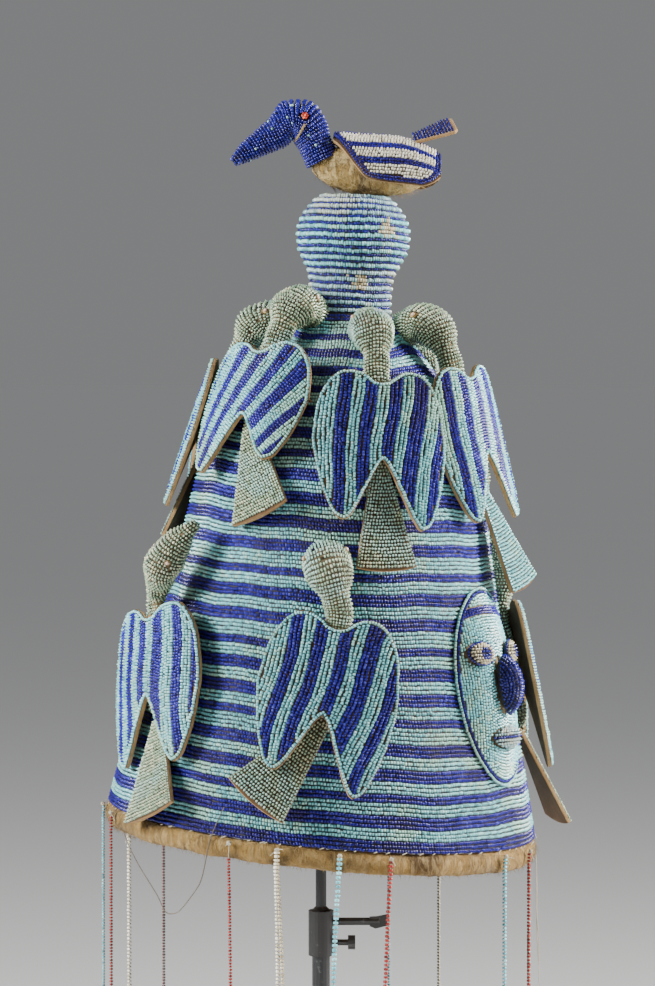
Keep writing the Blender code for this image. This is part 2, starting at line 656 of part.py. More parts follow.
def build_face(finishes, seat):
    half = (FACE_WIDTH / 2, FACE_HEIGHT / 2)
    rings = []
    sides = 24
    for share, layer in ((0.12, 0), (0.42, 0), (0.72, 0), (1.0, 0), (0.985, 1), (0.8, 1), (0.4, 1)):
        ring = []
        for i in range(sides):
            t = 2 * math.pi * i / sides
            across, up = share * math.cos(t), share * math.sin(t)
            out = GAP + layer * face_rise(across, up)
            ring.append(face_point(across * half[0], up * half[1], out))
        rings.append(ring)
    place("face_plate", skin(rings), finishes["face"], seat, 60)

    def floor(across, up):
        return 2 * GAP + face_rise(across / half[0], up / half[1])

    for row in FACE_PATCHES:
        centre = (row.across * FACE_WIDTH, row.up * FACE_HEIGHT)
        size = (row.width * FACE_WIDTH / 2, row.height * FACE_HEIGHT / 2)
        build_patch(row.name, centre, size, floor, row.rise, finishes, seat)


def string_route(row, shift=0.0):
    """Down the band's face or out from under it, then down with a fading sideways swing."""
    angle = math.radians(row.angle)
    seat = seat_matrix()
    radius = row.thick / 2
    points = []
    if row.start == "face":
        over = BAND_RADIUS + 1.5 * GAP + radius
        for level in (0.30, 0.0, -0.30):
            points.append(direction(angle) * over + Vector((0, 0, level * BAND_HEIGHT)))
    else:
        under = BAND_RADIUS - BAND_DEPTH / 2
        points.append(direction(angle) * under + Vector((0, 0, -BAND_HEIGHT / 2 - 2 * GAP)))
    points = [seat @ settle(point) for point in points]
    swing = direction(LEAN_ANGLE)
    along = Vector((math.cos(angle), math.sin(angle), 0))
    top = points[-1].copy()
    if shift:
        points = [point + along * (shift * 0.25) for point in points]
    length = STRING_LENGTH * row.share
    for share in (0.07, 0.16, 0.28, 0.45, 0.70, 1.0):
        drop = share * length
        fade = LEAN_REACH * (1 - math.exp(-drop / LEAN_REACH))
        sideways = swing * (math.tan(math.radians(row.lean)) * fade)
        apart = along * (shift * (0.25 + 0.75 * min(drop / LEAN_REACH, 1)))
        points.append(top + sideways + apart + Vector((0, 0, -drop)))
    return points


def string_curve(name, points, thick, material):
    curve = bpy.data.curves.new(name, "CURVE")
    curve.dimensions = "3D"
    curve.bevel_depth = thick / 2
    curve.bevel_resolution = 2
    curve.use_fill_caps = True
    spline = curve.splines.new("POLY")
    spline.points.add(len(points) - 1)
    for spot, point in zip(spline.points, points):
        spot.co = (*point, 1)
    spline.use_smooth = True
    curve.materials.append(material)
    piece = bpy.data.objects.new(name, curve)
    bpy.context.collection.objects.link(piece)
    return piece


def mesh_copy(curve_piece, name):
    """A mesh object with a curve's shape; the curve itself goes."""
    mesh = bpy.data.meshes.new_from_object(curve_piece)
    bpy.data.objects.remove(curve_piece, do_unlink=True)
    piece = bpy.data.objects.new(name, mesh)
    bpy.context.collection.objects.link(piece)
    return piece


def build_strings(finishes):
    for row in STRINGS:
        material = finishes[row.colour]
        if row.name != PAIR_STRING:
            string_curve(row.name, string_route(row), row.thick, material)
            continue
        halves = []
        for label, shift in (("", -PAIR_SPREAD / 2), ("_second", PAIR_SPREAD / 2)):
            curve = string_curve("pair_route", string_route(row, shift), row.thick, material)
            halves.append(mesh_copy(curve, row.name + label))
        hide_cutter(halves[1])
        cut(halves[0], halves[1], "UNION")


def seat_height():
    """The height of the ball's middle where it comes up against the hollow's wall."""
    profile = inner_profile()
    ends = [(0.0, profile[-1][1])] + profile[::-1]

    def clearance(rise):
        spot = np.array([rise * math.sin(CROWN_LEAN), rise * math.cos(CROWN_LEAN)])
        least = 1.0
        for a, b in zip(ends, ends[1:]):
            a, b = np.array(a), np.array(b)
            t = np.clip(np.dot(spot - a, b - a) / np.dot(b - a, b - a), 0, 1)
            least = min(least, float(np.linalg.norm(spot - a - t * (b - a))))
        return least - BALL_RADIUS - 1.5 * GAP

    low, high = CONE_FOOT, 0.9 * CONE_TOP
    step = 1 * MM
    while high + step < CONE_TOP and clearance(high + step) > 0:
        high += step
    low = high if clearance(high) > 0 else low
    high = high + step
    for _ in range(30):
        middle = (low + high) / 2
        if clearance(middle) > 0:
            low = middle
        else:
            high = middle
    return RIM_HEIGHT + low


def cylinder(radius, start, end, sides):
    """Rings of a round bar between two points."""
    axis = (end - start).normalized()
    side = axis.orthogonal().normalized()
    rise = axis.cross(side)
    return [oval(point, side, rise, radius, radius, sides) for point in (start, end)]


def build_stand(finishes):
    """A round foot, a post, a thinner rod and the ball that the crown sits on."""
    ball = seat_height()
    step_height = RIM_HEIGHT - COLLAR_DROP + GAP
    profile = [(POST_RADIUS, FOOT_THICK / 2), (POST_RADIUS, step_height),
               (ROD_RADIUS, step_height + 2 * MM)]
    for degrees in (-60, -30, 0, 30, 55, 80):
        t = math.radians(degrees)
        profile.append((BALL_RADIUS * math.cos(t), ball + BALL_RADIUS * math.sin(t)))
    rings = turned(profile, 16)
    post = place("stand_post", skin(rings), finishes["steel"], None)
    edge = 2 * MM
    profile = [(FOOT_SPREAD, 0), (FOOT_SPREAD, FOOT_THICK - edge), (FOOT_SPREAD - edge, FOOT_THICK),
               (3 * POST_RADIUS, FOOT_THICK + edge), (1.5 * POST_RADIUS, FOOT_THICK + 3 * edge)]
    foot = place("foot_blank", skin(turned(profile, 40)), finishes["steel"], None)
    hide_cutter(foot)
    cut(post, foot, "UNION")
    build_clamp(finishes)


def build_clamp(finishes):
    """A collar on the post with a wing screw and a small round knob."""
    top = RIM_HEIGHT - COLLAR_DROP
    bottom = top - COLLAR_HEIGHT
    bore = POST_RADIUS + GAP
    profile = [(bore, bottom), (COLLAR_RADIUS, bottom), (COLLAR_RADIUS, top), (bore, top)]
    collar = place("stand_clamp", skin(turned(profile, 24), closed=True), finishes["steel"], None)
    ahead = direction(LEAN_ANGLE)
    up = Vector((0, 0, 1))
    screw_level = up * (top - 0.25 * COLLAR_HEIGHT)
    knob_level = up * (bottom + 0.28 * COLLAR_HEIGHT)
    inside = (COLLAR_RADIUS + bore) / 2
    wing = 5.5 * MM
    parts = [
        ("screw_blank", cylinder(SCREW_RADIUS, screw_level + ahead * inside,
                                 screw_level + ahead * (SCREW_REACH - wing), 10)),
        ("wing_blank", [[screw_level + ahead * (SCREW_REACH + x * 1.0) + up * z * 1.0
                         + ahead.cross(up) * y for x, z in
                         ((-2 * wing, -0.45 * wing), (-1.4 * wing, -0.7 * wing), (0, -0.35 * wing),
                          (0, 0.75 * wing), (-1.2 * wing, 0.5 * wing), (-2 * wing, 0.45 * wing))]
                        for y in (-1.4 * MM, 1.4 * MM)]),
        ("shank_blank", cylinder(0.8 * SCREW_RADIUS, knob_level + ahead * inside,
                                 knob_level + ahead * (KNOB_REACH - 2 * MM), 10)),
        ("knob_blank", cylinder(KNOB_RADIUS, knob_level + ahead * (KNOB_REACH - 4 * MM),
                                knob_level + ahead * KNOB_REACH, 14)),
    ]
    for name, rings in parts:
        blank = place(name, skin(rings), finishes["steel"], None)
        hide_cutter(blank)
        cut(collar, blank, "UNION")


def main():
    clear_scene()
    finishes = make_finishes()
    seat = new_empty("crown_seat", None, seat_matrix())
    build_cone(finishes, seat)
    build_band(finishes, seat)
    build_finial(finishes, seat)
    clearance = build_clearance(seat)
    build_birds(finishes, seat, clearance)
    build_top_bird(finishes, seat)
    build_face(finishes, seat)
    build_strings(finishes)
    build_stand(finishes)


main()
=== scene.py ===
"""The looks of the beaded crown: seed beads in rows, cloth edges, hide, threads, strings and the stand.

Metres, in the frame of the CAD model: +Z up, the origin under the middle of the foot, the face along -Y.
Angles round the crown start at the face and grow towards +X.
"""
from collections import namedtuple
from math import acos, atan2, cos, exp, pi, radians, sin, sqrt, tan

import bpy
import numpy as np
from mathutils import Matrix, Vector


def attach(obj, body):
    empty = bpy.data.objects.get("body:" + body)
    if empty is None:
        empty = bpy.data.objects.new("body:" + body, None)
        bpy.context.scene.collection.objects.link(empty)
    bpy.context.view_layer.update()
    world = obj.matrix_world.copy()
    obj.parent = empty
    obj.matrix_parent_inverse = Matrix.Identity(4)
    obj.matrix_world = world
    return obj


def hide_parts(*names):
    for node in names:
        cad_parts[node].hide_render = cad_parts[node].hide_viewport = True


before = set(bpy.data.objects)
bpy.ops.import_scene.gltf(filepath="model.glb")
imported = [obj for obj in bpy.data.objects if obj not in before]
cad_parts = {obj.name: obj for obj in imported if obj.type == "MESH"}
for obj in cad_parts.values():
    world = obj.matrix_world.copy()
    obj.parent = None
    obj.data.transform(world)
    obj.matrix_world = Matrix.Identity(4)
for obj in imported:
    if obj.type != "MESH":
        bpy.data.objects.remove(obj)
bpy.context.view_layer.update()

MM = 0.001
GAP = 0.3 * MM
UP = np.array((0, 0, 1))

# The shell, the birds and the face, as in the CAD model
RIM_HEIGHT = 400 * MM
CONE_HEIGHT, CONE_RADIUS, NECK_RADIUS = 279.5 * MM, 117.7 * MM, 22.1 * MM
BAND_HEIGHT, BAND_DEPTH, BAND_RADIUS = 12 * MM, 8 * MM, CONE_RADIUS + 1.7 * MM
CROWN_LEAN, LEAN_ANGLE = radians(3.1), radians(30)
RIM_DROOP = 4.5 * MM
CONE_FOOT = BAND_HEIGHT / 2 + GAP
CONE_TOP = CONE_FOOT + CONE_HEIGHT
FINIAL_HEIGHT, FINIAL_RADIUS = 64 * MM, 30.3 * MM
TOP_BIRD_LENGTH, TOP_BIRD_HEIGHT, TOP_BIRD_WIDTH = 67 * MM, 31 * MM, 26 * MM
TOP_BIRD_ANGLE = radians(-150)
TOP_BIRD_SIDES = 12
TOP_BIRD_MIDDLE = -0.127 * TOP_BIRD_LENGTH
TOP_HEAD_DEPTH, TOP_BEAK_LENGTH = 22 * MM, 39 * MM
SADDLE_THICK, SADDLE_SPREAD = 2.5 * MM, 1.36
TOP_TAIL_LENGTH, TOP_TAIL_WIDTH, TOP_TAIL_THICK = 24 * MM, 21 * MM, 2.5 * MM
WING_THICK, TAIL_THICK, TAIL_ROOT = 2.5 * MM, 2.8 * MM, 4.5 * MM
TORSO_WIDTH, TORSO_DEPTH, HEAD_WIDTH = 19 * MM, 10.4 * MM, 27 * MM
FACE_HEIGHT, FACE_WIDTH = 104 * MM, 64 * MM
FACE_EDGE, FACE_DOME, FACE_LEVEL = 1.5 * MM, 6 * MM, 0.30
STRING_LENGTH, LEAN_REACH, PAIR_SPREAD = 335 * MM, 90 * MM, 3.4 * MM

# Beads on a thread: the step along it, their width and how far they rise
Row = namedtuple("Row", "step wide rise")
SHELL_ROW = Row(1.65 * MM, 2.17 * MM, 1.15 * MM)
KNOB_DARK_ROW = Row(1.65 * MM, 1.7 * MM, 0.4 * MM)
KNOB_PALE_ROW = Row(1.35 * MM, 2.7 * MM, 1.25 * MM)
BODY_ROW = Row(1.7 * MM, 1.9 * MM, 1.1 * MM)
WING_ROW = 2.1 * MM
BORDER_ROW = Row(1.6 * MM, WING_ROW, 1.5 * MM)
STRIPE_ROW = Row(1.6 * MM, 1.09 * WING_ROW, 1.3 * MM)
TAIL_ROW = Row(1.7 * MM, 2.05 * MM, 1.2 * MM)
TAIL_SIDE_ROW = Row(1.65 * MM, 1.5 * MM, 0.7 * MM)
TOP_HEAD_ROW = Row(1.55 * MM, 1.7 * MM, 0.85 * MM)
SADDLE_EDGE_ROW = Row(1.65 * MM, 1.6 * MM, 1.0 * MM)
SADDLE_ROWS = (Row(1.65 * MM, 2.05 * MM, 1.0 * MM), Row(1.65 * MM, 2.05 * MM, 1.4 * MM))
SADDLE_STEP = 1.9 * MM
TOP_TAIL_ROW = Row(1.65 * MM, 1.7 * MM, 1.15 * MM)
KNOB_STEP = 2.12 * MM
TAIL_STEP = 1.9 * MM
# How much of its step and of its row's width a bead fills, and how deep it sits in the cloth
BEAD_FILL, BEAD_BREADTH, BEAD_SINK = 0.94, 0.93, 0.25 * MM
FINE_STEP = 0.3 * MM
# How many rows of one colour follow each other on the shell, and which of two colours each row of a plate has
SHELL_BANDS = (3, 3, 3, 3, 2, 3, 3, 3, 3, 4, 2, 3, 3, 3, 3, 3, 2, 4, 3, 3, 3, 3, 2, 4, 3, 3, 3, 3)
WING_STRIPES = (0, 0, 0, 1, 1, 1, 0, 0, 0, 1, 1, 1, 1, 0, 0, 0, 0, 1, 1, 1, 0, 0, 0, 1, 1, 1)
SADDLE_STRIPES = (0, 0, 1, 1, 1, 1, 0, 0, 1, 1, 1, 0, 0, 1, 1, 1, 1, 1, 1)
# Worn spots on the knob: turn in degrees and share of its height, then their radius and how ragged they are
WORN_SPOTS = ((-22, 0.74), (-47, 0.26))
WORN_RADIUS, WORN_RAG = 4.6 * MM, 1.6 * MM
# How far the cloth lies under the CAD solid, and how lumpy a stuffed body is
BODY_SINK, FACE_SINK = 0.8 * MM, 0.3 * MM
BODY_LUMPS = 0.3 * MM
# Eyes: their turns round the head in degrees, the hide disc, its bead and the bare cloth round it
EYE_TURNS, EYE_DISC, EYE_BEAD, EYE_CLEARING = (28, 152), (2.1 * MM, 1.7 * MM, 0.9 * MM), 2.3 * MM, 2.1 * MM
TOP_EYE_TURNS, TOP_EYE_BEAD, TOP_EYE_CLEARING = (12, 168), 1.6 * MM, 2.4 * MM
# The share of beads that are lost on a body, and that are pale on the top bird's head
BEADS_LOST, BEADS_PALE = 0.004, 0.015
# The wings puff up away from their border, which the stripes keep clear of
WING_PUFF, PUFF_REACH, BORDER_CLEARING, SADDLE_CLEARING = 0.7 * MM, 6 * MM, 2.0 * MM, 3.3 * MM
TOP_TAIL_RISE, TOP_TAIL_ROLL = radians(22), radians(24)
RIM_HAIRS, TOP_HAIRS, WING_HAIRS = 6000, 1300, 130
STITCHES = 84

Tier = namedtuple("Tier", "span height bend tail_length tail_width neck_rise")
Bird = namedtuple("Bird", "name tier angle level size flare swing tail_flare nod twist skew reach bow breadth "
                          "yaw slant head")
Strand = namedtuple("Strand", "name angle start thick lean share colours bare")
Beads = namedtuple("Beads", "at ahead out long wide deep shade")

CONE_PROFILE = ((0.000, 0.031, 0.137, 0.206, 0.330, 0.475, 0.585, 0.676, 0.782, 0.880, 0.959, 1.000),
                (1.000, 0.982, 0.914, 0.867, 0.787, 0.695, 0.636, 0.584, 0.469, 0.301, 0.104, 0.000))
FINIAL_PROFILE = ((0.000, 0.137, 0.302, 0.370, 0.450, 0.562, 0.690, 0.795, 0.905, 0.975, 1.000),
                  (0.729, 0.719, 0.739, 0.785, 0.875, 0.977, 1.000, 0.947, 0.802, 0.657, 0.548))
WING_SHARES = (0.00, 0.10, 0.21, 0.32, 0.44, 0.57, 0.70, 0.82, 0.92, 1.00)
WING_TOPS = (0.385, 0.395, 0.430, 0.455, 0.465, 0.458, 0.425, 0.360, 0.265, 0.060)
WING_FEET = (-0.085, -0.150, -0.250, -0.350, -0.450, -0.510, -0.480, -0.375, -0.235, -0.040)
TORSO_SECTIONS = ((-0.065, 0.45, 0.50), (-0.030, 0.78, 0.85), (0.08, 1.00, 1.00),
                  (0.22, 0.95, 1.00), (0.370, 0.80, 0.90))
NECK_SECTIONS = ((0.36, 0.00, 0.56, 0.46), (0.40, 0.00, 0.58, 0.56), (0.26, 0.05, 0.82, 0.80),
                 (0.30, 0.22, 1.00, 0.97), (0.30, 0.50, 0.96, 0.93), (0.28, 0.78, 0.76, 0.72),
                 (0.24, 0.95, 0.54, 0.50), (0.20, 1.00, 0.36, 0.34), (0.10, 1.00, 0.20, 0.20))
UPPER = Tier(74 * MM, 88 * MM, 76 * MM, 56 * MM, 33 * MM, -8)
LOWER = Tier(75 * MM, 98 * MM, 114 * MM, 56 * MM, 36 * MM, 20)
BIRDS = (
    Bird("upper1", UPPER, 11, 0.758, 1.00, -6, 12, 6, 110, 0, 0.000, 0.22, 0, 1.00, -12, 0.06, 0.90),
    Bird("upper2", UPPER, 73, 0.745, 0.96, -6, -3, 0, 110, 0, 0.000, 0.00, 0, 1.00, 0, -0.08, 0.95),
    Bird("upper3", UPPER, 131, 0.745, 0.96, -6, 3, 0, 110, 0, 0.000, 0.00, 0, 1.00, 0, 0.06, 0.95),
    Bird("upper4", UPPER, -166, 0.745, 1.00, -6, 10, 0, 110, 0, 0.000, 0.00, 0, 1.00, 0, 0.16, 0.95),
    Bird("upper5", UPPER, -104, 0.800, 0.88, -6, 24, -4, 120, 3, -0.110, 0.00, 0, 1.14, 0, 0.46, 0.91),
    Bird("upper6", UPPER, -45.5, 0.739, 1.00, -6, 3, 0, 100, 0, 0.055, 0.00, 0, 1.00, 0, 0.12, 0.87),
    Bird("lower1", LOWER, 47, 0.285, 1.00, 3, 0, 13, 110, 0, 0.000, 0.22, 0, 1.00, 0, 0.00, 0.95),
    Bird("lower2", LOWER, 104, 0.285, 1.00, 4, 4, 2, 90, 0, 0.000, 0.00, 0, 1.00, 0, -0.10, 0.95),
    Bird("lower3", LOWER, 172, 0.285, 1.00, 4, -4, 2, 90, 0, 0.000, 0.00, 0, 1.00, 0, 0.08, 0.95),
    Bird("lower4", LOWER, -119, 0.262, 0.90, -6, 12, 13, 45, 13, 0.000, 0.12, 42, 1.20, 3, -0.04, 0.74),
    Bird("lower5", LOWER, -61, 0.263, 0.98, 4, -31, 0, 120, -6, 0.090, 0.00, -22, 1.02, 0, 0.15, 0.95),
)
SADDLE_ALONG = (0.209, 0.119, 0.000, -0.090, -0.224, -0.373, -0.522, -0.627, -0.687)
SADDLE_CREST = (1.106, 1.113, 1.105, 1.100, 1.100, 1.070, 0.980, 0.880, 0.800)
SADDLE_SIDE = (0.065, 0.26, 0.58, 0.77, 0.82, 0.81, 0.74, 0.56, 0.36)
TOP_NECK = ((0.00, 0.00, 28, 0.78, 0.80), (0.20, 0.38, 28, 0.76, 0.78), (0.36, 0.72, 40, 0.90, 0.92),
            (0.58, 0.98, 75, 0.98, 1.00), (0.86, 0.99, 112, 0.90, 0.93))
TOP_BEAK = ((0.22, 0.66, 122, 0.68, 0.77), (0.50, 0.38, 126, 0.52, 0.60),
            (0.78, 0.10, 130, 0.40, 0.43), (1.00, -0.16, 134, 0.16, 0.17))
FACE_PATCHES = {
    "face_nose": (0.00, 0.00, 0.21, 0.30, 12 * MM),
    "face_eye_left": (-0.24, 0.16, 0.28, 0.12, 6 * MM),
    "face_eye_right": (0.24, 0.16, 0.28, 0.12, 6 * MM),
    "face_mouth": (0.00, -0.26, 0.42, 0.11, 6 * MM),
}
# Angle and lean in degrees, then the bead colours in turn and the bare thread above the first bead
STRANDS = (
    Strand("string01", -146, "face", 2.2 * MM, 0, 1.00, ("turquoise",), 0.0),
    Strand("string02", -131, "face", 2.3 * MM, 0, 0.99, ("red",), 1.5 * MM),
    Strand("string03", -124, "under", 2.7 * MM, 0, 1.01, ("white",), 0.0),
    Strand("string04", 172, "under", 2.3 * MM, 0, 0.98, ("dark_red",), 0.0),
    Strand("string05", -83.5, "face", 2.3 * MM, 1.2, 1.00, ("red",), 7.5 * MM),
    Strand("string06", -71, "face", 2.7 * MM, 2.6, 1.00, ("white", "cream"), 0.0),
    Strand("string07", -55.5, "face", 3.3 * MM, -3.9, 1.02, ("turquoise",), 0.0),
    Strand("string08", -42.5, "face", 3.0 * MM, -3.4, 0.99, ("red",), 0.0),
    Strand("string09", 99.5, "under", 2.4 * MM, 0, 0.97, ("turquoise",), 0.0),
    Strand("string10", 83, "under", 2.5 * MM, 0, 1.01, ("cream",), 0.0),
    Strand("string11", -5.5, "face", 2.7 * MM, 0, 1.00, ("turquoise",), 0.0),
    Strand("string12", 9.5, "face", 2.6 * MM, 0, 1.00, ("red",), 0.0),
    Strand("string13", 43, "face", 2.6 * MM, 0, 0.98, ("dark_red", "cream", "turquoise"), 0.0),
)
# The loose thread's way below the rim: degrees round it, height over the rim's middle and distance out, in mm
LOOSE_WAY = ((-122.5, -5, 0.2), (-118, -12, 1), (-112, -20, 2), (-103.5, -33, 3), (-101, -41, 3),
             (-97, -39, 3), (-94, -31, 3), (-90.5, -20, 3), (-89.8, -11, 2.5), (-89.5, -3, 1.6), (-89, 4, 1.2))

# Where the photograph was taken from: a long lens, level with the crown
TOWARD_CAMERA = Vector((sin(radians(-60)), -cos(radians(-60)), 0))
CAMERA_REACH, CAMERA_HEIGHT, CAMERA_LENS = 1.8, RIM_HEIGHT + 0.2585, 178.95
CAMERA_TURN, CAMERA_DIP = -atan2(6.5, 3256), radians(2.3)
# Each lamp's distance to the camera and to the right, its height, size, power and tint
LAMPS = (("right_softbox", 0.0, 1.5, 1.2, (0.5, 0.8), 90, (1.0, 0.985, 0.96)),
         ("left_softbox", 0.55, -1.4, 1.2, (0.5, 0.8), 60, (0.95, 0.98, 1.0)),
         ("front_fill", 2.4, 0.0, 1.9, (1.2, 1.2), 4, (1, 1, 1)))
LAMP_AIM = Vector((0, 0, 0.62))

luck = np.random.default_rng(20)


# The crown's own measures

def follow(xs, ys, at):
    """Read a table along a curve that keeps its rises and falls."""
    xs, ys = np.array(xs, float), np.array(ys, float)
    at = np.clip(np.asarray(at, float), xs[0], xs[-1])
    steps = np.diff(ys) / np.diff(xs)
    level = steps[:-1] * steps[1:] <= 0
    inner = np.where(level, 0, 2 * steps[:-1] * steps[1:] / np.where(level, 1, steps[:-1] + steps[1:]))
    slopes = np.concatenate([[steps[0]], inner, [steps[-1]]])
    i = np.clip(np.searchsorted(xs, at) - 1, 0, len(xs) - 2)
    width = xs[i + 1] - xs[i]
    t = (at - xs[i]) / width
    return (ys[i] * (1 + 2 * t) * (1 - t) ** 2 + slopes[i] * width * t * (1 - t) ** 2
            + ys[i + 1] * t * t * (3 - 2 * t) + slopes[i + 1] * width * t * t * (t - 1))


def distances(line):
    """How far along a line each of its points is."""
    return np.concatenate([[0], np.cumsum(np.linalg.norm(np.diff(line, axis=0), axis=1))])


def read_line(line, run, where):
    return np.stack([np.interp(where, run, column) for column in line.T], -1)


def closed_path(there, back, count):
    """A closed flat line, out along one pair of tables and back along another, evenly spaced."""
    path = np.concatenate([np.stack(there, -1), np.stack(back, -1)])
    path = np.concatenate([path, path[:1]])
    run = distances(path)
    return read_line(path, run, np.linspace(0, run[-1], count))


def off_path(flat, path):
    """How far flat places are from a closed line."""
    return np.linalg.norm(flat[:, None] - path[None, :-1], axis=2).min(1)


def nearest(points, spots):
    """How far each point is from the nearest spot."""
    return np.min([np.linalg.norm(points - spot, axis=1) for spot in spots], axis=0)


def stretches(kinds):
    """Where each stretch of one kind starts and ends. Kinds below 0 are left out."""
    cuts = np.flatnonzero(np.diff(np.concatenate([[-2], kinds, [-2]])))
    return [(first, last) for first, last in zip(cuts, cuts[1:]) if kinds[first] >= 0]


def direction(angle):
    angle = np.asarray(angle, float)
    return np.stack([np.sin(angle), -np.cos(angle), np.zeros_like(angle)], -1)


def unit(vectors):
    return vectors / np.maximum(np.linalg.norm(vectors, axis=-1, keepdims=True), 1e-12)


def square_to(out, ahead):
    return unit(out - ahead * (out * ahead).sum(1, keepdims=True))


def carry(matrix, points):
    """Points by a matrix."""
    table = np.array(matrix)
    return points @ table[:3, :3].T + table[:3, 3]


def placed(seat, x, y, z):
    return carry(seat, np.stack(np.broadcast_arrays(x, y, z), -1))


def ring(angle, radius, height):
    """Points round the crown's axis."""
    return direction(angle) * radius[..., None] + height[..., None] * UP


def slope_of(radius_at, height, step):
    return (radius_at(height + step) - radius_at(height - step)) / (2 * step)


def slope_table(radius_at, low, high):
    """Heights and the length of the slope below each."""
    heights = np.linspace(low, high, 600)
    return heights, distances(np.stack([heights, radius_at(heights)], -1))


def crown_radius(height):
    share = (np.asarray(height, float) - CONE_FOOT) / CONE_HEIGHT
    return NECK_RADIUS + follow(*CONE_PROFILE, share) * (CONE_RADIUS - NECK_RADIUS)


def finial_radius(height):
    return FINIAL_RADIUS * follow(*FINIAL_PROFILE, (height - CONE_TOP - GAP) / FINIAL_HEIGHT)


def droop(points):
    """How far the rim sags at each point, on the side that the crown leans to."""
    flat = points * (1, 1, 0)
    share = 1 - np.minimum(points[..., 2] / CONE_TOP, 1)
    facing = unit(flat) @ direction(LEAN_ANGLE)
    return RIM_DROOP * facing * np.linalg.norm(flat, axis=-1) / CONE_RADIUS * share ** 2


def settle(points):
    return points - droop(points)[..., None] * UP


SEAT = Matrix.Translation((0, 0, RIM_HEIGHT)) @ Matrix.Rotation(
    CROWN_LEAN, 4, Vector((cos(LEAN_ANGLE), sin(LEAN_ANGLE), 0)))


def crown_point(height, angle, out=0.0):
    """Points over the shell, from heights and angles, in the crown's own frame."""
    height, angle = np.broadcast_arrays(np.asarray(height, float), np.asarray(angle, float))
    normal = unit(direction(angle) - slope_of(crown_radius, height, MM)[..., None] * UP)
    return settle(ring(angle, crown_radius(height), height) + normal * np.asarray(out)[..., None])


def on_crown(height, angle, out=0.0):
    return carry(SEAT, crown_point(height, angle, out))


def on_rim(degrees, height, out):
    """A point by the rim: degrees round it, height over the rim's middle and distance out from the band."""
    return carry(SEAT, settle(direction(radians(degrees)) * (BAND_RADIUS + out) + (0, 0, height)))


def clear_of_crown(points, least=0.2 * MM):
    """Which points are outside the shell."""
    local = carry(SEAT.inverted(), points)
    side = np.linalg.norm(local[:, :2], axis=-1)
    height = local[:, 2] + droop(local)
    return (side - crown_radius(height) > least) | (height > CONE_TOP)


def bird_frame(row):
    """Where a bird sits: x across, y up the slope, z out."""
    height, angle = CONE_FOOT + row.level * CONE_HEIGHT, radians(row.angle)
    out = Vector(direction(angle))
    up = (Vector(UP) + float(slope_of(crown_radius, height, MM)) * out).normalized()
    across = Vector((cos(angle), sin(angle), 0))
    seat = Matrix((across, up, across.cross(up))).transposed().to_4x4()
    seat.translation = Vector(crown_point(height, angle))
    lift = max(sin(radians(row.flare)), 0) * TORSO_SECTIONS[-1][0] * row.tier.height
    seat = SEAT @ seat @ Matrix.Translation((0, 0, lift))
    for degrees, axis in ((-row.flare, "X"), (row.yaw, "Y"), (row.twist, "Z")):
        seat = seat @ Matrix.Rotation(radians(degrees), 4, axis)
    return seat


# The bench: picking, copying, finishing

def deselect():
    for piece in list(bpy.context.selected_objects):
        piece.select_set(False)


def pick(piece):
    deselect()
    piece.select_set(True)
    bpy.context.view_layer.objects.active = piece


def edit(piece, action="SELECT"):
    pick(piece)
    bpy.ops.object.mode_set(mode="EDIT")
    bpy.ops.mesh.select_mode(type="VERT")
    if action:
        bpy.ops.mesh.select_all(action=action)


def leave():
    bpy.ops.object.mode_set(mode="OBJECT")


def work_on(piece, wanted, operator, **settings):
    """Use an operator on the corners of a piece that are wanted."""
    edit(piece, "DESELECT")
    leave()
    for point in piece.data.vertices:
        point.select = wanted(point.co)
    edit(piece, None)
    operator(**settings)
    leave()


def points_of(piece):
    co = np.empty(len(piece.data.vertices) * 3)
    piece.data.vertices.foreach_get("co", co)
    return co.reshape(-1, 3)


def apply(piece, kind, **settings):
    """Add a modifier and apply it."""
    pick(piece)
    modifier = piece.modifiers.new("work", kind)
    for key, value in settings.items():
        setattr(modifier, key, value)
    bpy.ops.object.modifier_apply(modifier=modifier.name)


def round_off(piece, angle=None):
    pick(piece)
    if angle is None:
        bpy.ops.object.shade_smooth()
    else:
        bpy.ops.object.shade_smooth_by_angle(angle=radians(angle))


def ruffle(piece, size, strength, depth=2):
    """Push a surface in and out by a cloudy pattern."""
    cloud = bpy.data.textures.new(piece.name + "_ruffle", "CLOUDS")
    cloud.noise_scale = size
    cloud.noise_depth = depth
    apply(piece, "DISPLACE", texture=cloud, texture_coords="LOCAL", strength=strength, mid_level=0.5)


def put_in(name, data):
    thing = bpy.data.objects.new(name, data)
    bpy.context.scene.collection.objects.link(thing)
    return thing


def fix_place():
    bpy.ops.object.transform_apply(location=True, rotation=True, scale=True)
    return bpy.context.object


def new_piece(operator, **measures):
    """A basic shape, its place and turn worked into its mesh."""
    deselect()
    operator(**measures)
    return fix_place()


def join(name, *parts):
    deselect()
    for part in parts:
        part.select_set(True)
    bpy.context.view_layer.objects.active = parts[0]
    bpy.ops.object.join()
    piece = bpy.context.view_layer.objects.active
    piece.name = piece.data.name = name
    return piece


def copy_of(node, name, levels=0, swell=0.0, angle=None):
    """A joined-up copy of a CAD node, rounded by so many levels and moved out by a distance."""
    pick(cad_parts[node])
    bpy.ops.object.duplicate()
    piece = bpy.context.view_layer.objects.active
    piece.name = piece.data.name = name
    piece.parent = None
    for key in list(piece.keys()):
        del piece[key]
    piece.data.materials.clear()
    edit(piece)
    bpy.ops.mesh.remove_doubles(threshold=1e-6)
    bpy.ops.mesh.tris_convert_to_quads()
    bpy.ops.mesh.normals_make_consistent(inside=False)
    leave()
    if levels:
        apply(piece, "SUBSURF", levels=levels, render_levels=levels)
    if swell:
        edit(piece)
        bpy.ops.transform.shrink_fatten(value=swell)
        leave()
    round_off(piece, angle)
    return piece


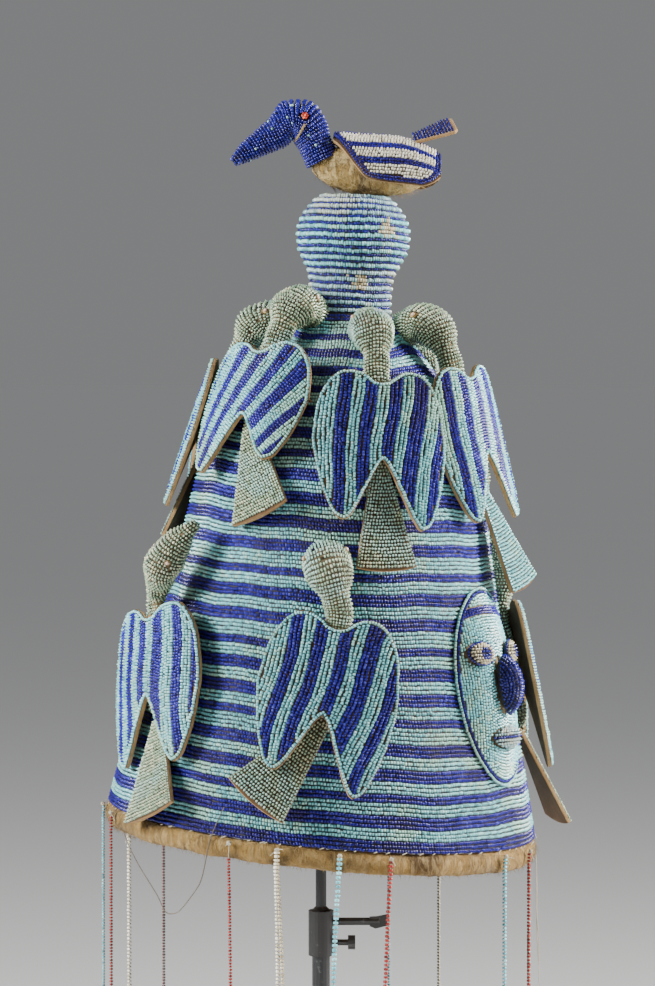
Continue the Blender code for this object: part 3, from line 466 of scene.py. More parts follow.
def wear(piece, finish, slot, *nodes):
    """Give a piece its finish and its place on the body. The slot is not used."""
    if finish is not None:
        piece.data.materials.clear()
        piece.data.materials.append(finish)
    if nodes:
        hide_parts(*nodes)
    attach(piece, "root")
    return piece


# Finishes

def feed(tree, node, inputs):
    """Link or set a node's inputs. Colours come as red, green and blue."""
    for key, value in dict(inputs).items():
        socket = node.inputs[key]
        if isinstance(value, bpy.types.NodeSocket):
            tree.links.new(value, socket)
        else:
            socket.default_value = (*value, 1.0) if socket.type == "RGBA" else value
    return node


def add(tree, kind, inputs=(), **settings):
    node = tree.nodes.new(kind)
    for key, value in settings.items():
        setattr(node, key, value)
    return feed(tree, node, inputs)


def mix(tree, factor, first, second, blend="MIX"):
    inputs = {0: factor, 6: first, 7: second}
    return add(tree, "ShaderNodeMix", inputs, data_type="RGBA", blend_type=blend).outputs[2]


def maths(tree, operation, first, second, clamp=False):
    return add(tree, "ShaderNodeMath", {0: first, 1: second}, operation=operation, use_clamp=clamp).outputs[0]


def times(tree, first, second, clamp=False):
    return maths(tree, "MULTIPLY", first, second, clamp)


def plus(tree, first, second, clamp=False):
    return maths(tree, "ADD", first, second, clamp)


def span(tree, value, low, high, to_low=0.0, to_high=1.0):
    inputs = {"Value": value, "From Min": low, "From Max": high, "To Min": to_low, "To Max": to_high}
    return add(tree, "ShaderNodeMapRange", inputs, interpolation_type="SMOOTHSTEP").outputs["Result"]


def cloudy(tree, place, scale, detail=3.0, roughness=0.55, twist=0.0):
    return add(tree, "ShaderNodeTexNoise", {"Vector": place, "Scale": scale, "Detail": detail,
                                            "Roughness": roughness, "Distortion": twist}).outputs["Fac"]


def new_group(name, colours, values, vectors, results):
    """A shader group with its inputs and results by kind. It also gives a Color."""
    tree = bpy.data.node_groups.new(name, "ShaderNodeTree")
    for way, kind, labels in (("INPUT", "Color", colours), ("INPUT", "Float", values),
                              ("INPUT", "Vector", vectors), ("OUTPUT", "Color", "Color"),
                              ("OUTPUT", "Float", results)):
        for label in labels.split(", "):
            tree.interface.new_socket(name=label, in_out=way, socket_type="NodeSocket" + kind)
    return tree, tree.nodes.new("NodeGroupInput").outputs, tree.nodes.new("NodeGroupOutput")


def make_bead_tone():
    """Each bead a little lighter or darker than the next, with dirt in patches, painted shade low between the
    beads and a painted highlight on their tops.
    """
    tree, given, made = new_group("bead tone", "Deep, Middle, Pale, Grime, Other",
                                  "Grime Share, Shade, Rise, Other Share", "Place", "Roughness")
    place, shade, rise = given["Place"], given["Shade"], given["Rise"]
    tone = mix(tree, span(tree, shade, 0.0, 0.5), given["Deep"], given["Middle"])
    tone = mix(tree, span(tree, shade, 0.5, 1.0), tone, given["Pale"])
    strange = plus(tree, cloudy(tree, place, 24, 3, 0.6, 0.4), times(tree, shade, 0.16))
    strange = times(tree, span(tree, strange, 0.60, 0.68), given["Other Share"])
    tone = mix(tree, strange, tone, given["Other"])
    patches = span(tree, cloudy(tree, place, 38, 4, 0.6), 0.46, 0.72)
    # The dark amount is real dirt in cloudy patches plus painted shade at each bead's foot, where its rise is
    # low.
    amount = plus(tree, times(tree, patches, 0.55), times(tree, span(tree, rise, 0.0, 0.85, 1.0, 0.0), 0.6))
    amount = times(tree, amount, given["Grime Share"], True)
    # Painted shade makes each bead darker towards its foot, and a painted highlight makes it lighter at its
    # top.
    painted_shade_and_highlight = plus(tree, span(tree, rise, 0.05, 0.46, 0.12, 1.0), span(tree, rise, 0.55, 1.0, 0.0, 0.30))
    feed(tree, made, {"Color": mix(tree, 1.0, mix(tree, amount, tone, given["Grime"]), painted_shade_and_highlight, "MULTIPLY"),
                      "Roughness": plus(tree, times(tree, amount, 0.5), 0.19, True)})
    return tree


def make_cloth_grain():
    """Plain woven cloth: crossed threads, faded and darkened in patches."""
    tree, given, made = new_group("cloth grain", "Fresh, Faded, Soil", "Threads", "Place", "Roughness, Height")
    place = given["Place"]
    threads = {"Vector": place, "Scale": given["Threads"], "Distortion": 1.4, "Detail": 1.0}
    waves = [add(tree, "ShaderNodeTexWave", threads, bands_direction=way) for way in ("X", "Z")]
    weave = maths(tree, "MAXIMUM", *[wave.outputs["Fac"] for wave in waves])
    fade = span(tree, cloudy(tree, place, 45, 4, 0.65), 0.35, 0.65)
    soil = span(tree, cloudy(tree, place, 90, 5, 0.7, 0.6), 0.52, 0.75)
    tone = mix(tree, fade, given["Fresh"], given["Faded"])
    tone = mix(tree, times(tree, soil, 0.75), tone, given["Soil"])
    feed(tree, made, {"Color": mix(tree, times(tree, weave, 0.25), tone, given["Faded"]), "Height": weave,
                      "Roughness": span(tree, weave, 0.0, 1.0, 0.95, 0.8)})
    return tree


def make_hide_mottle():
    """Dried hide: ochre and brown clouds, fine creases and pale worn ridges."""
    tree, given, made = new_group("hide mottle", "Ochre, Brown, Pale", "Grain", "Place", "Roughness, Height")
    place = given["Place"]
    clouds = span(tree, cloudy(tree, place, 55, 5, 0.65, 0.5), 0.38, 0.66)
    stretched = add(tree, "ShaderNodeMapping", {"Vector": place, "Scale": (1.0, 1.0, 0.35)}).outputs["Vector"]
    creases = span(tree, cloudy(tree, stretched, given["Grain"], 6, 0.7, 0.8), 0.4, 0.62)
    flecks = span(tree, cloudy(tree, place, 900, 2, 0.5), 0.6, 0.74)
    tone = mix(tree, clouds, given["Ochre"], given["Brown"])
    tone = mix(tree, times(tree, creases, 0.4), tone, given["Pale"])
    feed(tree, made, {"Color": mix(tree, times(tree, flecks, 0.5), tone, given["Brown"]),
                      "Roughness": span(tree, creases, 0.0, 1.0, 0.9, 0.62),
                      "Height": plus(tree, creases, times(tree, flecks, -0.4))})
    return tree


def make_settled_dust():
    """Dust that lies on what faces up, and rubbed spots."""
    tree, given, made = new_group("settled dust", "Paint, Dust, Rubbed", "Amount", "Place, Facing",
                                  "Roughness, Height")
    place = given["Place"]
    up = add(tree, "ShaderNodeSeparateXYZ", {"Vector": given["Facing"]}).outputs["Z"]
    film = times(tree, span(tree, up, 0.2, 1.0), span(tree, cloudy(tree, place, 70, 5, 0.7), 0.35, 0.7))
    film = times(tree, film, given["Amount"], True)
    spots = span(tree, cloudy(tree, place, 320, 3, 0.6, 0.4), 0.64, 0.7)
    tone = mix(tree, times(tree, spots, 0.5), given["Paint"], given["Rubbed"])
    feed(tree, made, {"Color": mix(tree, film, tone, given["Dust"]),
                      "Height": cloudy(tree, place, 2600, 2, 0.5),
                      "Roughness": plus(tree, times(tree, film, 0.4), 0.42, True)})
    return tree


BEAD_TONE = make_bead_tone()
CLOTH_GRAIN = make_cloth_grain()
HIDE_MOTTLE = make_hide_mottle()
SETTLED_DUST = make_settled_dust()


def new_finish(name, plain):
    """A material with its shader's plain values set, and a place to read patterns from."""
    material = bpy.data.materials.new(name)
    material.use_nodes = True
    tree = material.node_tree
    shader = feed(tree, tree.nodes["Principled BSDF"], plain)
    return material, tree, shader, add(tree, "ShaderNodeTexCoord").outputs["Object"]


def link_group(finish, group, inputs, height=None, depth=1.0):
    material, tree, shader, place = finish
    node = add(tree, "ShaderNodeGroup", {"Place": place, **inputs}, node_tree=group)
    feed(tree, shader, {"Base Color": node.outputs["Color"], "Roughness": node.outputs["Roughness"]})
    if height is not None:
        bump = add(tree, "ShaderNodeBump", {"Strength": depth, "Distance": height,
                                            "Height": node.outputs["Height"]})
        feed(tree, shader, {"Normal": bump.outputs["Normal"]})
    return material


def bead_finish(name, deep, middle, pale, grime=0.45, other=(0.5, 0.5, 0.5), share=0.0, shine=0.5, coat=0.3):
    finish = new_finish(name, {"IOR": 1.5, "Specular IOR Level": shine, "Coat Weight": coat,
                               "Coat Roughness": 0.08})
    # The dark brown is mixed in both for dirt in patches and for painted shade between the beads.
    inputs = {"Deep": deep, "Middle": middle, "Pale": pale, "Grime": (0.05, 0.035, 0.02), "Grime Share": grime,
              "Other": other, "Other Share": share}
    for label in ("Shade", "Rise"):
        inputs[label] = add(finish[1], "ShaderNodeAttribute", attribute_name=label.lower()).outputs["Fac"]
    return link_group(finish, BEAD_TONE, inputs)


def cloth_finish(name, fresh, faded, soil, threads=1300.0):
    finish = new_finish(name, {"Sheen Weight": 0.05, "Sheen Roughness": 0.5, "Specular IOR Level": 0.2})
    inputs = {"Fresh": fresh, "Faded": faded, "Soil": soil, "Threads": threads}
    return link_group(finish, CLOTH_GRAIN, inputs, 0.15 * MM, 0.6)


def hide_finish(name, ochre, brown, pale, grain=260.0):
    finish = new_finish(name, {"Sheen Weight": 0.08, "Sheen Roughness": 0.45, "Specular IOR Level": 0.3})
    inputs = {"Ochre": ochre, "Brown": brown, "Pale": pale, "Grain": grain}
    return link_group(finish, HIDE_MOTTLE, inputs, 0.6 * MM, 0.8)


def steel_finish(name, paint, amount):
    finish = new_finish(name, {"Metallic": 0.0, "Coat Weight": 0.1, "Coat Roughness": 0.3})
    inputs = {"Paint": paint, "Dust": (0.3, 0.28, 0.25), "Rubbed": (0.12, 0.12, 0.12), "Amount": amount,
              "Facing": add(finish[1], "ShaderNodeNewGeometry").outputs["Normal"]}
    return link_group(finish, SETTLED_DUST, inputs, 0.05 * MM, 0.35)


TURQUOISE = bead_finish("turquoise_glass", (0.07, 0.27, 0.30), (0.20, 0.58, 0.61), (0.46, 0.80, 0.78), 0.45,
                        (0.39, 0.60, 0.41), 0.6)
COBALT = bead_finish("cobalt_glass", (0.005, 0.003, 0.07), (0.016, 0.010, 0.23), (0.065, 0.06, 0.46), 0.22,
                     (0.018, 0.009, 0.10), 0.7, shine=0.26, coat=0.06)
NAVY = bead_finish("dark_blue_glass", (0.005, 0.004, 0.06), (0.012, 0.010, 0.19), (0.07, 0.07, 0.38), 0.20,
                   shine=0.34, coat=0.10)
GREY_GREEN = bead_finish("grey_green_glass", (0.12, 0.19, 0.11), (0.34, 0.46, 0.29), (0.74, 0.73, 0.45), 0.68,
                         (0.30, 0.56, 0.52), 0.6)
PALE_BLUE = bead_finish("pale_blue_glass", (0.12, 0.25, 0.29), (0.28, 0.47, 0.51), (0.52, 0.66, 0.63), 0.5,
                        (0.55, 0.53, 0.38), 0.6)
CHALK = bead_finish("chalk_white_glass", (0.50, 0.43, 0.30), (0.78, 0.72, 0.56), (0.92, 0.88, 0.76), 0.35)
CREAM = bead_finish("cream_glass", (0.35, 0.28, 0.16), (0.55, 0.47, 0.30), (0.70, 0.63, 0.45), 0.4)
RED = bead_finish("red_glass", (0.10, 0.006, 0.005), (0.25, 0.014, 0.011), (0.38, 0.045, 0.03), 0.3,
                  shine=0.35, coat=0.1)
TEAL = bead_finish("teal_glass", (0.05, 0.22, 0.26), (0.14, 0.46, 0.52), (0.36, 0.70, 0.72), 0.3,
                   shine=0.4, coat=0.1)
DARK_RED = bead_finish("dark_red_glass", (0.05, 0.006, 0.006), (0.13, 0.015, 0.014), (0.24, 0.04, 0.035), 0.3)
SCARLET = bead_finish("scarlet_glass", (0.30, 0.015, 0.008), (0.60, 0.05, 0.02), (0.75, 0.16, 0.08), 0.1)
ROSE = bead_finish("rose_glass", (0.40, 0.24, 0.17), (0.58, 0.38, 0.28), (0.75, 0.55, 0.42), 0.2)
UNDER_CLOTH = cloth_finish("dark_under_cloth", (0.018, 0.016, 0.022), (0.06, 0.05, 0.05), (0.01, 0.008, 0.008))
OLIVE_CLOTH = cloth_finish("olive_body_cloth", (0.14, 0.10, 0.05), (0.26, 0.19, 0.10), (0.05, 0.035, 0.02))
BROWN_CLOTH = cloth_finish("brown_backing_cloth", (0.080, 0.040, 0.015), (0.16, 0.088, 0.036),
                           (0.022, 0.012, 0.006))
EDGE_CLOTH = cloth_finish("tan_cloth_edge", (0.28, 0.15, 0.055), (0.44, 0.28, 0.13), (0.10, 0.05, 0.02))
RIM_HIDE = hide_finish("ochre_rim_hide", (0.29, 0.170, 0.045), (0.075, 0.040, 0.012), (0.45, 0.30, 0.11))
BODY_HIDE = hide_finish("straw_body_hide", (0.40, 0.25, 0.07), (0.07, 0.038, 0.012), (0.74, 0.56, 0.25), 340.0)
STRAW = hide_finish("straw_hairs", (0.33, 0.20, 0.06), (0.14, 0.075, 0.022), (0.52, 0.37, 0.15))
PALE_THREAD = cloth_finish("pale_thread", (0.45, 0.38, 0.27), (0.62, 0.55, 0.42), (0.22, 0.17, 0.11), 3000.0)
BROWN_THREAD = cloth_finish("brown_grey_thread", (0.12, 0.095, 0.07), (0.22, 0.18, 0.14), (0.06, 0.045, 0.03),
                            3000.0)
BLACK_PAINT = steel_finish("black_painted_steel", (0.014, 0.014, 0.015), 0.25)
SCREW_PAINT = steel_finish("black_clamp_steel", (0.020, 0.019, 0.018), 0.15)
STRING_GLASS = {"turquoise": TEAL, "red": RED, "white": CHALK, "cream": CREAM, "dark_red": DARK_RED}


# Beads

def take_shape(piece):
    """The corners and faces of a modelled shape. The piece itself goes."""
    shape = points_of(piece), [tuple(face.vertices) for face in piece.data.polygons]
    bpy.data.objects.remove(piece, do_unlink=True)
    return shape


def model_seed_bead(sides):
    """A seed bead as it lies on the cloth: an even ring below, drawn together to a short ridge on top."""
    bead = new_piece(bpy.ops.mesh.primitive_cylinder_add, vertices=sides, radius=0.5, depth=1,
                     end_fill_type="NOTHING", location=(0, 0, 0.5), rotation=(0, 0, pi / sides))
    wide = np.abs(points_of(bead)).max(0)
    for side in (-1, 1):
        work_on(bead, lambda co: co.z > 0.9 and co.x * side > 0.1, bpy.ops.mesh.merge, type="CENTER")
    ridge = max(point.co.x for point in bead.data.vertices if point.co.z > 0.9)
    for wanted, scale, middle in ((lambda co: co.z > 0.9, (0.46 * wide[0] / ridge, 1, 1), (0, 0, 1)),
                                  (lambda co: True, (0.5 / wide[0], 0.5 / wide[1], 1), (0, 0, 0))):
        work_on(bead, wanted, bpy.ops.transform.resize, value=scale, center_override=middle)
    return take_shape(bead)


def model_blunt_bead():
    """A seed bead with a narrow flat top, for rows that are seen in outline."""
    bead = new_piece(bpy.ops.mesh.primitive_cube_add, size=1, location=(0, 0, 0.5))
    work_on(bead, lambda co: co.z < 0.1, bpy.ops.mesh.delete, type="ONLY_FACE")
    work_on(bead, lambda co: co.z > 0.9, bpy.ops.transform.resize, value=(0.66, 0.52, 1),
            center_override=(0, 0, 1))
    return take_shape(bead)


def model_round_bead(segments=6, rings=3):
    """One round bead, drawn in a little at its two holes."""
    bead = new_piece(bpy.ops.mesh.primitive_uv_sphere_add, segments=segments, ring_count=rings, radius=0.5,
                     rotation=(0, radians(90), 0))
    work_on(bead, lambda co: abs(co.x) > 0.49, bpy.ops.transform.resize, value=(0.78, 1, 1))
    return take_shape(bead)


def model_hair():
    """One short stiff hair: a three-sided spike."""
    return take_shape(new_piece(bpy.ops.mesh.primitive_cone_add, vertices=3, radius1=0.5, radius2=0, depth=1,
                                end_fill_type="NOTHING", location=(0, 0, 0.5)))


ROW_BEAD = model_seed_bead(4)
DOT_BEAD = model_seed_bead(6)
BLUNT_BEAD = model_blunt_bead()
ROUND_BEAD = model_round_bead()
HAIR = model_hair()


def lay_copies(name, shape, sets):
    """One mesh of many copies of a shape. Each set is a Beads table and its material."""
    corners, faces = shape
    loops = np.array([i for face in faces for i in face])
    starts = np.cumsum([0] + [len(face) for face in faces[:-1]])
    # Each corner's height in the bead, 0 at its foot and 1 at its top; the bead tone paints shade and a
    # highlight from it.
    rise = (corners[:, 2] - corners[:, 2].min()) / (corners[:, 2].max() - corners[:, 2].min())
    beads = gather([beads for beads, _ in sets])
    slots = np.repeat(np.arange(len(sets)), [len(beads.at) * len(faces) for beads, _ in sets])
    side = np.cross(beads.out, beads.ahead)
    local = corners * np.stack([beads.long, beads.wide, beads.deep], -1)[:, None]
    points = (beads.at[:, None] + local[..., 0:1] * beads.ahead[:, None]
              + local[..., 1:2] * side[:, None] + local[..., 2:3] * beads.out[:, None])
    count = len(beads.at)
    each = np.arange(count)[:, None]
    mesh = bpy.data.meshes.new(name)
    mesh.vertices.add(count * len(corners))
    mesh.vertices.foreach_set("co", points.ravel())
    mesh.loops.add(count * len(loops))
    mesh.loops.foreach_set("vertex_index", (loops + each * len(corners)).ravel().astype(np.int32))
    mesh.polygons.add(count * len(faces))
    mesh.polygons.foreach_set("loop_start", (starts + each * len(loops)).ravel().astype(np.int32))
    mesh.polygons.foreach_set("material_index", slots.astype(np.int32))
    for label, values in (("shade", np.repeat(beads.shade, len(corners))), ("rise", np.tile(rise, count))):
        mesh.attributes.new(label, "FLOAT", "POINT").data.foreach_set("value", values.astype(np.float32))
    mesh.update(calc_edges=True)
    mesh.validate()
    mesh.shade_smooth()
    for _, material in sets:
        mesh.materials.append(material)
    return put_in(name, mesh)


def lay(name, shape, slot, *sets):
    """Copies of a shape as one piece of the crown."""
    wear(lay_copies(name, shape, sets), None, slot)


def grow_hairs(name, piece, slot, count, long, lean, good=1.0):
    """Hairs on the good part of a piece's surface, lying over towards a direction."""
    centres, normals, areas = (np.array([getattr(face, key) for face in piece.data.polygons])
                               for key in ("center", "normal", "area"))
    areas = areas * good
    chosen = luck.choice(len(areas), count, p=areas / areas.sum())
    at = centres[chosen] + luck.normal(0, 0.4 * MM, (count, 3))
    out = normals[chosen]
    way = unit(out * luck.uniform(0.25, 0.9, (count, 1)) + np.array(lean) + luck.normal(0, 0.45, (count, 3)))
    side = unit(np.cross(way, out + (0.01, 0.02, 0.03)))
    thick = luck.uniform(0.12, 0.24, count) * MM
    lay(name, HAIR, slot, (Beads(at, side, way, thick, thick, long * luck.uniform(0.4, 1.3, count),
                                 luck.random(count)), STRAW))


def normals_on(surface, u, v, outward=1.0, step=0.35 * MM, turn=None):
    """Where a surface faces at each place, from four places close by. turn is the step for an angle."""
    du = step if turn is None else turn
    across = surface(u + du, v) - surface(u - du, v)
    return unit(np.cross(across, surface(u, v + step) - surface(u, v - step))) * outward


def thread_beads(line, outs, row=SHELL_ROW, tone=0.0, loose=0.06, sink=BEAD_SINK):
    """Beads on one thread that follows a line, or None where the line is too short."""
    if len(line) < 2:
        return None
    step, wide, rise = row
    run = distances(line)
    count = int(round(run[-1] / step))
    if count < 1:
        return None
    pitch = run[-1] / count
    spots = (np.arange(count) + 0.5) * pitch + luck.normal(0, loose * pitch, count)
    at = read_line(line, run, spots)
    ahead = unit(read_line(line, run, spots + 0.4 * pitch) - read_line(line, run, spots - 0.4 * pitch))
    out = square_to(read_line(outs, run, spots), ahead)
    size = luck.normal(1, 0.07, count).clip(0.8, 1.2)
    if np.ndim(wide):
        wide = np.interp(spots, run, wide)
    jog = np.cross(out, ahead) * luck.normal(0, loose, (count, 1)) * np.reshape(wide, (-1, 1))
    return Beads(at - out * sink + jog, ahead, out, pitch * BEAD_FILL * size,
                 wide * BEAD_BREADTH * luck.normal(1, 0.05, count).clip(0.85, 1.12),
                 (rise + sink) * luck.normal(1, 0.09, count).clip(0.75, 1.2),
                 (0.5 + tone + luck.normal(0, 0.19, count)).clip(0, 1))


def gather(rows):
    rows = [row for row in rows if row is not None and len(row.at)]
    return Beads(*[np.concatenate([getattr(row, field) for row in rows]) for field in Beads._fields])


def keep(beads, mask):
    return Beads(*[column[mask] for column in beads])


# The camera, the floor and the light

def set_camera():
    """The photograph's view."""
    data = bpy.data.cameras.new("camera")
    data.sensor_fit = "HORIZONTAL"
    data.sensor_width = 36
    data.lens = CAMERA_LENS
    data.clip_start, data.clip_end = 0.05, 200
    camera = put_in("camera", data)
    camera.location = TOWARD_CAMERA * CAMERA_REACH + Vector((0, 0, CAMERA_HEIGHT))
    view = -TOWARD_CAMERA
    view.rotate(Matrix.Rotation(CAMERA_TURN, 3, "Z"))
    view = view * cos(CAMERA_DIP) - Vector((0, 0, sin(CAMERA_DIP)))
    camera.rotation_euler = view.to_track_quat("-Z", "Y").to_euler()
    bpy.context.scene.camera = camera


def build_floor():
    """A wide pale floor of matt paper."""
    floor = new_piece(bpy.ops.mesh.primitive_circle_add, vertices=64, radius=90, fill_type="NGON")
    floor.name = "studio_floor"
    material, tree, shader, place = new_finish("pale_floor_paper", {"Specular IOR Level": 0.1})
    tone = mix(tree, cloudy(tree, place, 1.2, 4), (0.79, 0.78, 0.765), (0.81, 0.80, 0.785))
    feed(tree, shader, {"Base Color": tone, "Roughness": span(tree, cloudy(tree, place, 30), 0, 1, 0.8, 0.95)})
    floor.data.materials.append(material)


def set_lights():
    """Two soft boxes, one at each side of the crown, a weak light from the front and a pale world."""
    aside = Vector((-TOWARD_CAMERA.y, TOWARD_CAMERA.x, 0))
    for name, ahead, right, height, size, power, tint in LAMPS:
        data = bpy.data.lights.new(name, "AREA")
        data.shape = "RECTANGLE"
        data.size, data.size_y = size
        data.energy = power
        data.color = tint
        lamp = put_in(name, data)
        lamp.location = TOWARD_CAMERA * ahead + aside * right + Vector((0, 0, height))
        lamp.rotation_euler = (LAMP_AIM - lamp.location).to_track_quat("-Z", "Y").to_euler()
    world = bpy.data.worlds.new("studio")
    world.use_nodes = True
    tree = world.node_tree
    seen = add(tree, "ShaderNodeLightPath").outputs["Is Camera Ray"]
    ground = mix(tree, seen, (0.80, 0.82, 0.85), (0.64, 0.648, 0.659))
    feed(tree, tree.nodes["Background"], {"Color": ground, "Strength": 0.33})
    bpy.context.scene.world = world


# The hanging strings

def strand_route(row, shift=0.0):
    """The CAD string's points: down the band's face or out from under it, then down."""
    angle = radians(row.angle)
    over = BAND_RADIUS + 1.5 * GAP + row.thick / 2
    levels = [level * BAND_HEIGHT for level in (0.30, 0.0, -0.30)]
    if row.start == "under":
        over, levels = BAND_RADIUS - BAND_DEPTH / 2, [-BAND_HEIGHT / 2 - 2 * GAP]
    points = [carry(SEAT, settle(direction(angle) * over + (0, 0, level))) for level in levels]
    along = np.array((cos(angle), sin(angle), 0))
    top = points[-1]
    points = [point + along * (shift * 0.25) for point in points]
    for share in (0.07, 0.16, 0.28, 0.45, 0.70, 1.0):
        drop = share * STRING_LENGTH * row.share
        fade = LEAN_REACH * (1 - exp(-drop / LEAN_REACH))
        sideways = direction(LEAN_ANGLE) * tan(radians(row.lean)) * fade
        apart = along * shift * (0.25 + 0.75 * min(drop / LEAN_REACH, 1))
        points.append(top + sideways + apart - (0, 0, drop))
    return np.array(points)


def smooth_line(points, rounds=6, spacing=0.6 * MM):
    """A fine line through a few points, rounded where it turns."""
    run = distances(points)
    line = read_line(np.array(points), run, np.linspace(0, run[-1], int(run[-1] / spacing) + 1))
    for _ in range(rounds):
        line[1:-1] = (line[:-2] + 2 * line[1:-1] + line[2:]) / 4
    return line


def thread_tube(name, line, radius, finish):
    """A thread as a mesh tube along a line."""
    data = bpy.data.curves.new(name, "CURVE")
    data.dimensions = "3D"
    data.bevel_depth = radius
    data.bevel_resolution = 1
    data.use_fill_caps = True
    spline = data.splines.new("POLY")
    spline.points.add(len(line) - 1)
    for spot, point in zip(spline.points, line):
        spot.co = (*point, 1)
    pick(put_in(name, data))
    bpy.ops.object.convert(target="MESH")
    piece = bpy.context.view_layer.objects.active
    piece.data.materials.clear()
    piece.data.materials.append(finish)
    return piece


def knot_lump(name, place, size, turns=5):
    """A small pulled-tight knot: a lump with a few crossing turns of thread and two short ends."""
    lump = new_piece(bpy.ops.mesh.primitive_ico_sphere_add, subdivisions=2, radius=size * 0.42, location=place)
    lump.data.materials.append(PALE_THREAD)
    round_off(lump)
    parts = [lump]
    for _ in range(turns):
        tilt = (Matrix.Rotation(luck.uniform(0, pi), 3, "Z")
                @ Matrix.Rotation(luck.uniform(0.2, 1.4), 3, "X"))
        loop = [place + np.array(tilt @ Vector((cos(t), sin(t), 0.15 * sin(2 * t)))) * size * 0.42
                for t in np.linspace(0, 2 * pi, 11)]
        parts.append(thread_tube("turn", loop, size * 0.12, PALE_THREAD))
    for _ in range(2):
        way = unit(luck.normal(0, 1, 3) + (0, 0, -1.2))
        end = [place + way * size * k + (0, 0, -0.12 * size * k * k) for k in (0.2, 0.7, 1.2, 1.6)]
        parts.append(thread_tube("end", end, size * 0.08, PALE_THREAD))
    return join(name, *parts)


def hang(piece, line, thick, far_end, stiffness, **more):
    """Work out how long a line is, and keep nothing."""
    float(distances(line)[-1])


def build_strand(row, name, shift, glass):
    """Round beads on a thread, hanging from the rim to a knot."""
    line = smooth_line(strand_route(row, shift))
    outs = np.tile(direction(radians(row.angle)), (len(line), 1))
    beaded = distances(line) > row.bare
    size = Row(row.thick * 0.72, row.thick, SHELL_ROW.rise)
    beads = thread_beads(line[beaded], outs[beaded], size, loose=0.02, sink=0)
    count = len(beads.at)
    around = row.thick * luck.normal(0.97, 0.05, count).clip(0.85, 1.08)
    beads = beads._replace(wide=around, deep=around, long=beads.long * 1.07)
    sets = [(keep(beads, np.arange(count) % len(glass) == kind), STRING_GLASS[which])
            for kind, which in enumerate(glass)]
    string = lay_copies(name, ROUND_BEAD, sets)
    core = thread_tube("core", line, row.thick * 0.11, PALE_THREAD)
    string = join(name, string, core)
    knot = knot_lump(name + "_knot", line[-1] + (0, 0, 0.3 * row.thick), row.thick * 1.1)
    wear(string, None, (row.colours[0] if len(row.colours) < 3 else "mixed") + "_string", row.name)
    wear(knot, None, "thread")
    hang(string, line, row.thick, "knot", "limp", with_pieces=[knot])


def build_strands():
    for row in STRANDS:
        if row.name == "string06":
            build_strand(row, "string06_front", -PAIR_SPREAD / 2, ("white",))
            build_strand(row, "string06_back", PAIR_SPREAD / 2, ("cream",))
        else:
            build_strand(row, row.name + "_beads", 0.0, row.colours)


# The shell and the finial

def shell_wave(angle, run, top):
    """How far a round of beads strays from level: little low down, more at the shoulder."""
    wander = (0.5 * np.sin(3 * angle + 9 * run + 0.4) + 0.32 * np.sin(7 * angle - 23 * run + 2.0)
              + 0.18 * np.sin(17 * angle + 31 * run))
    shoulder = np.clip((run / top - 0.72) / 0.2, 0, 1) ** 2
    return MM * (1.5 * wander + shoulder * (2.6 * np.sin(2 * angle + 0.9) + 1.6 * np.sin(5 * angle + 1.7)))


def build_shell():
    """The bands of beads round the shell, dark blue and turquoise in turn, in three pieces."""
    heights, runs = slope_table(crown_radius, CONE_FOOT, CONE_TOP)
    top = runs[-1]
    kinds = [band % 2 for band, rows in enumerate(SHELL_BANDS) for _ in range(rows)]
    rows, tones = {}, {}
    run, number = 0.9 * MM, 0
    while run < top - 0.5 * MM:
        radius = float(crown_radius(float(np.interp(run, runs, heights))))
        around = np.linspace(0, 2 * pi, max(int(2 * pi * radius / (1.2 * MM)), 24))
        fade = min(run / (12 * MM), 1) * min((top - run) / (10 * MM), 1)
        where = np.clip(run + fade * shell_wave(around, run, top), 0.3 * MM, top)
        level = np.interp(where, runs, heights)
        line = on_crown(level, around)
        outs = unit(on_crown(level, around, 0.5 * MM) - line)
        kind = kinds[number % len(kinds)]
        tone = tones.setdefault((number // 3, kind), luck.normal(0, 0.07)) + luck.normal(0, 0.03)
        rows.setdefault((min(int(3 * run / top), 2), kind), []).append(thread_beads(line, outs, tone=tone))
        run += SHELL_ROW.wide * luck.normal(1.0, 0.012)
        number += 1
    for part, label in enumerate(("foot", "middle", "shoulder")):
        lay("shell_beads_" + label, ROW_BEAD, "shell_beads", (gather(rows[part, 0]), COBALT),
            (gather(rows[part, 1]), TURQUOISE))


def build_shell_cloth():
    """The cloth under the beads, with a paler lining inside."""
    cloth = wear(copy_of("cone", "shell_cloth", angle=40), UNDER_CLOTH, "backing_cloth", "cone")
    cloth.data.materials.append(EDGE_CLOTH)
    for face in cloth.data.polygons:
        away = np.array(face.center) - np.array(SEAT.translation)
        face.material_index = int(np.dot(away[:2], np.array(face.normal)[:2]) < 0)


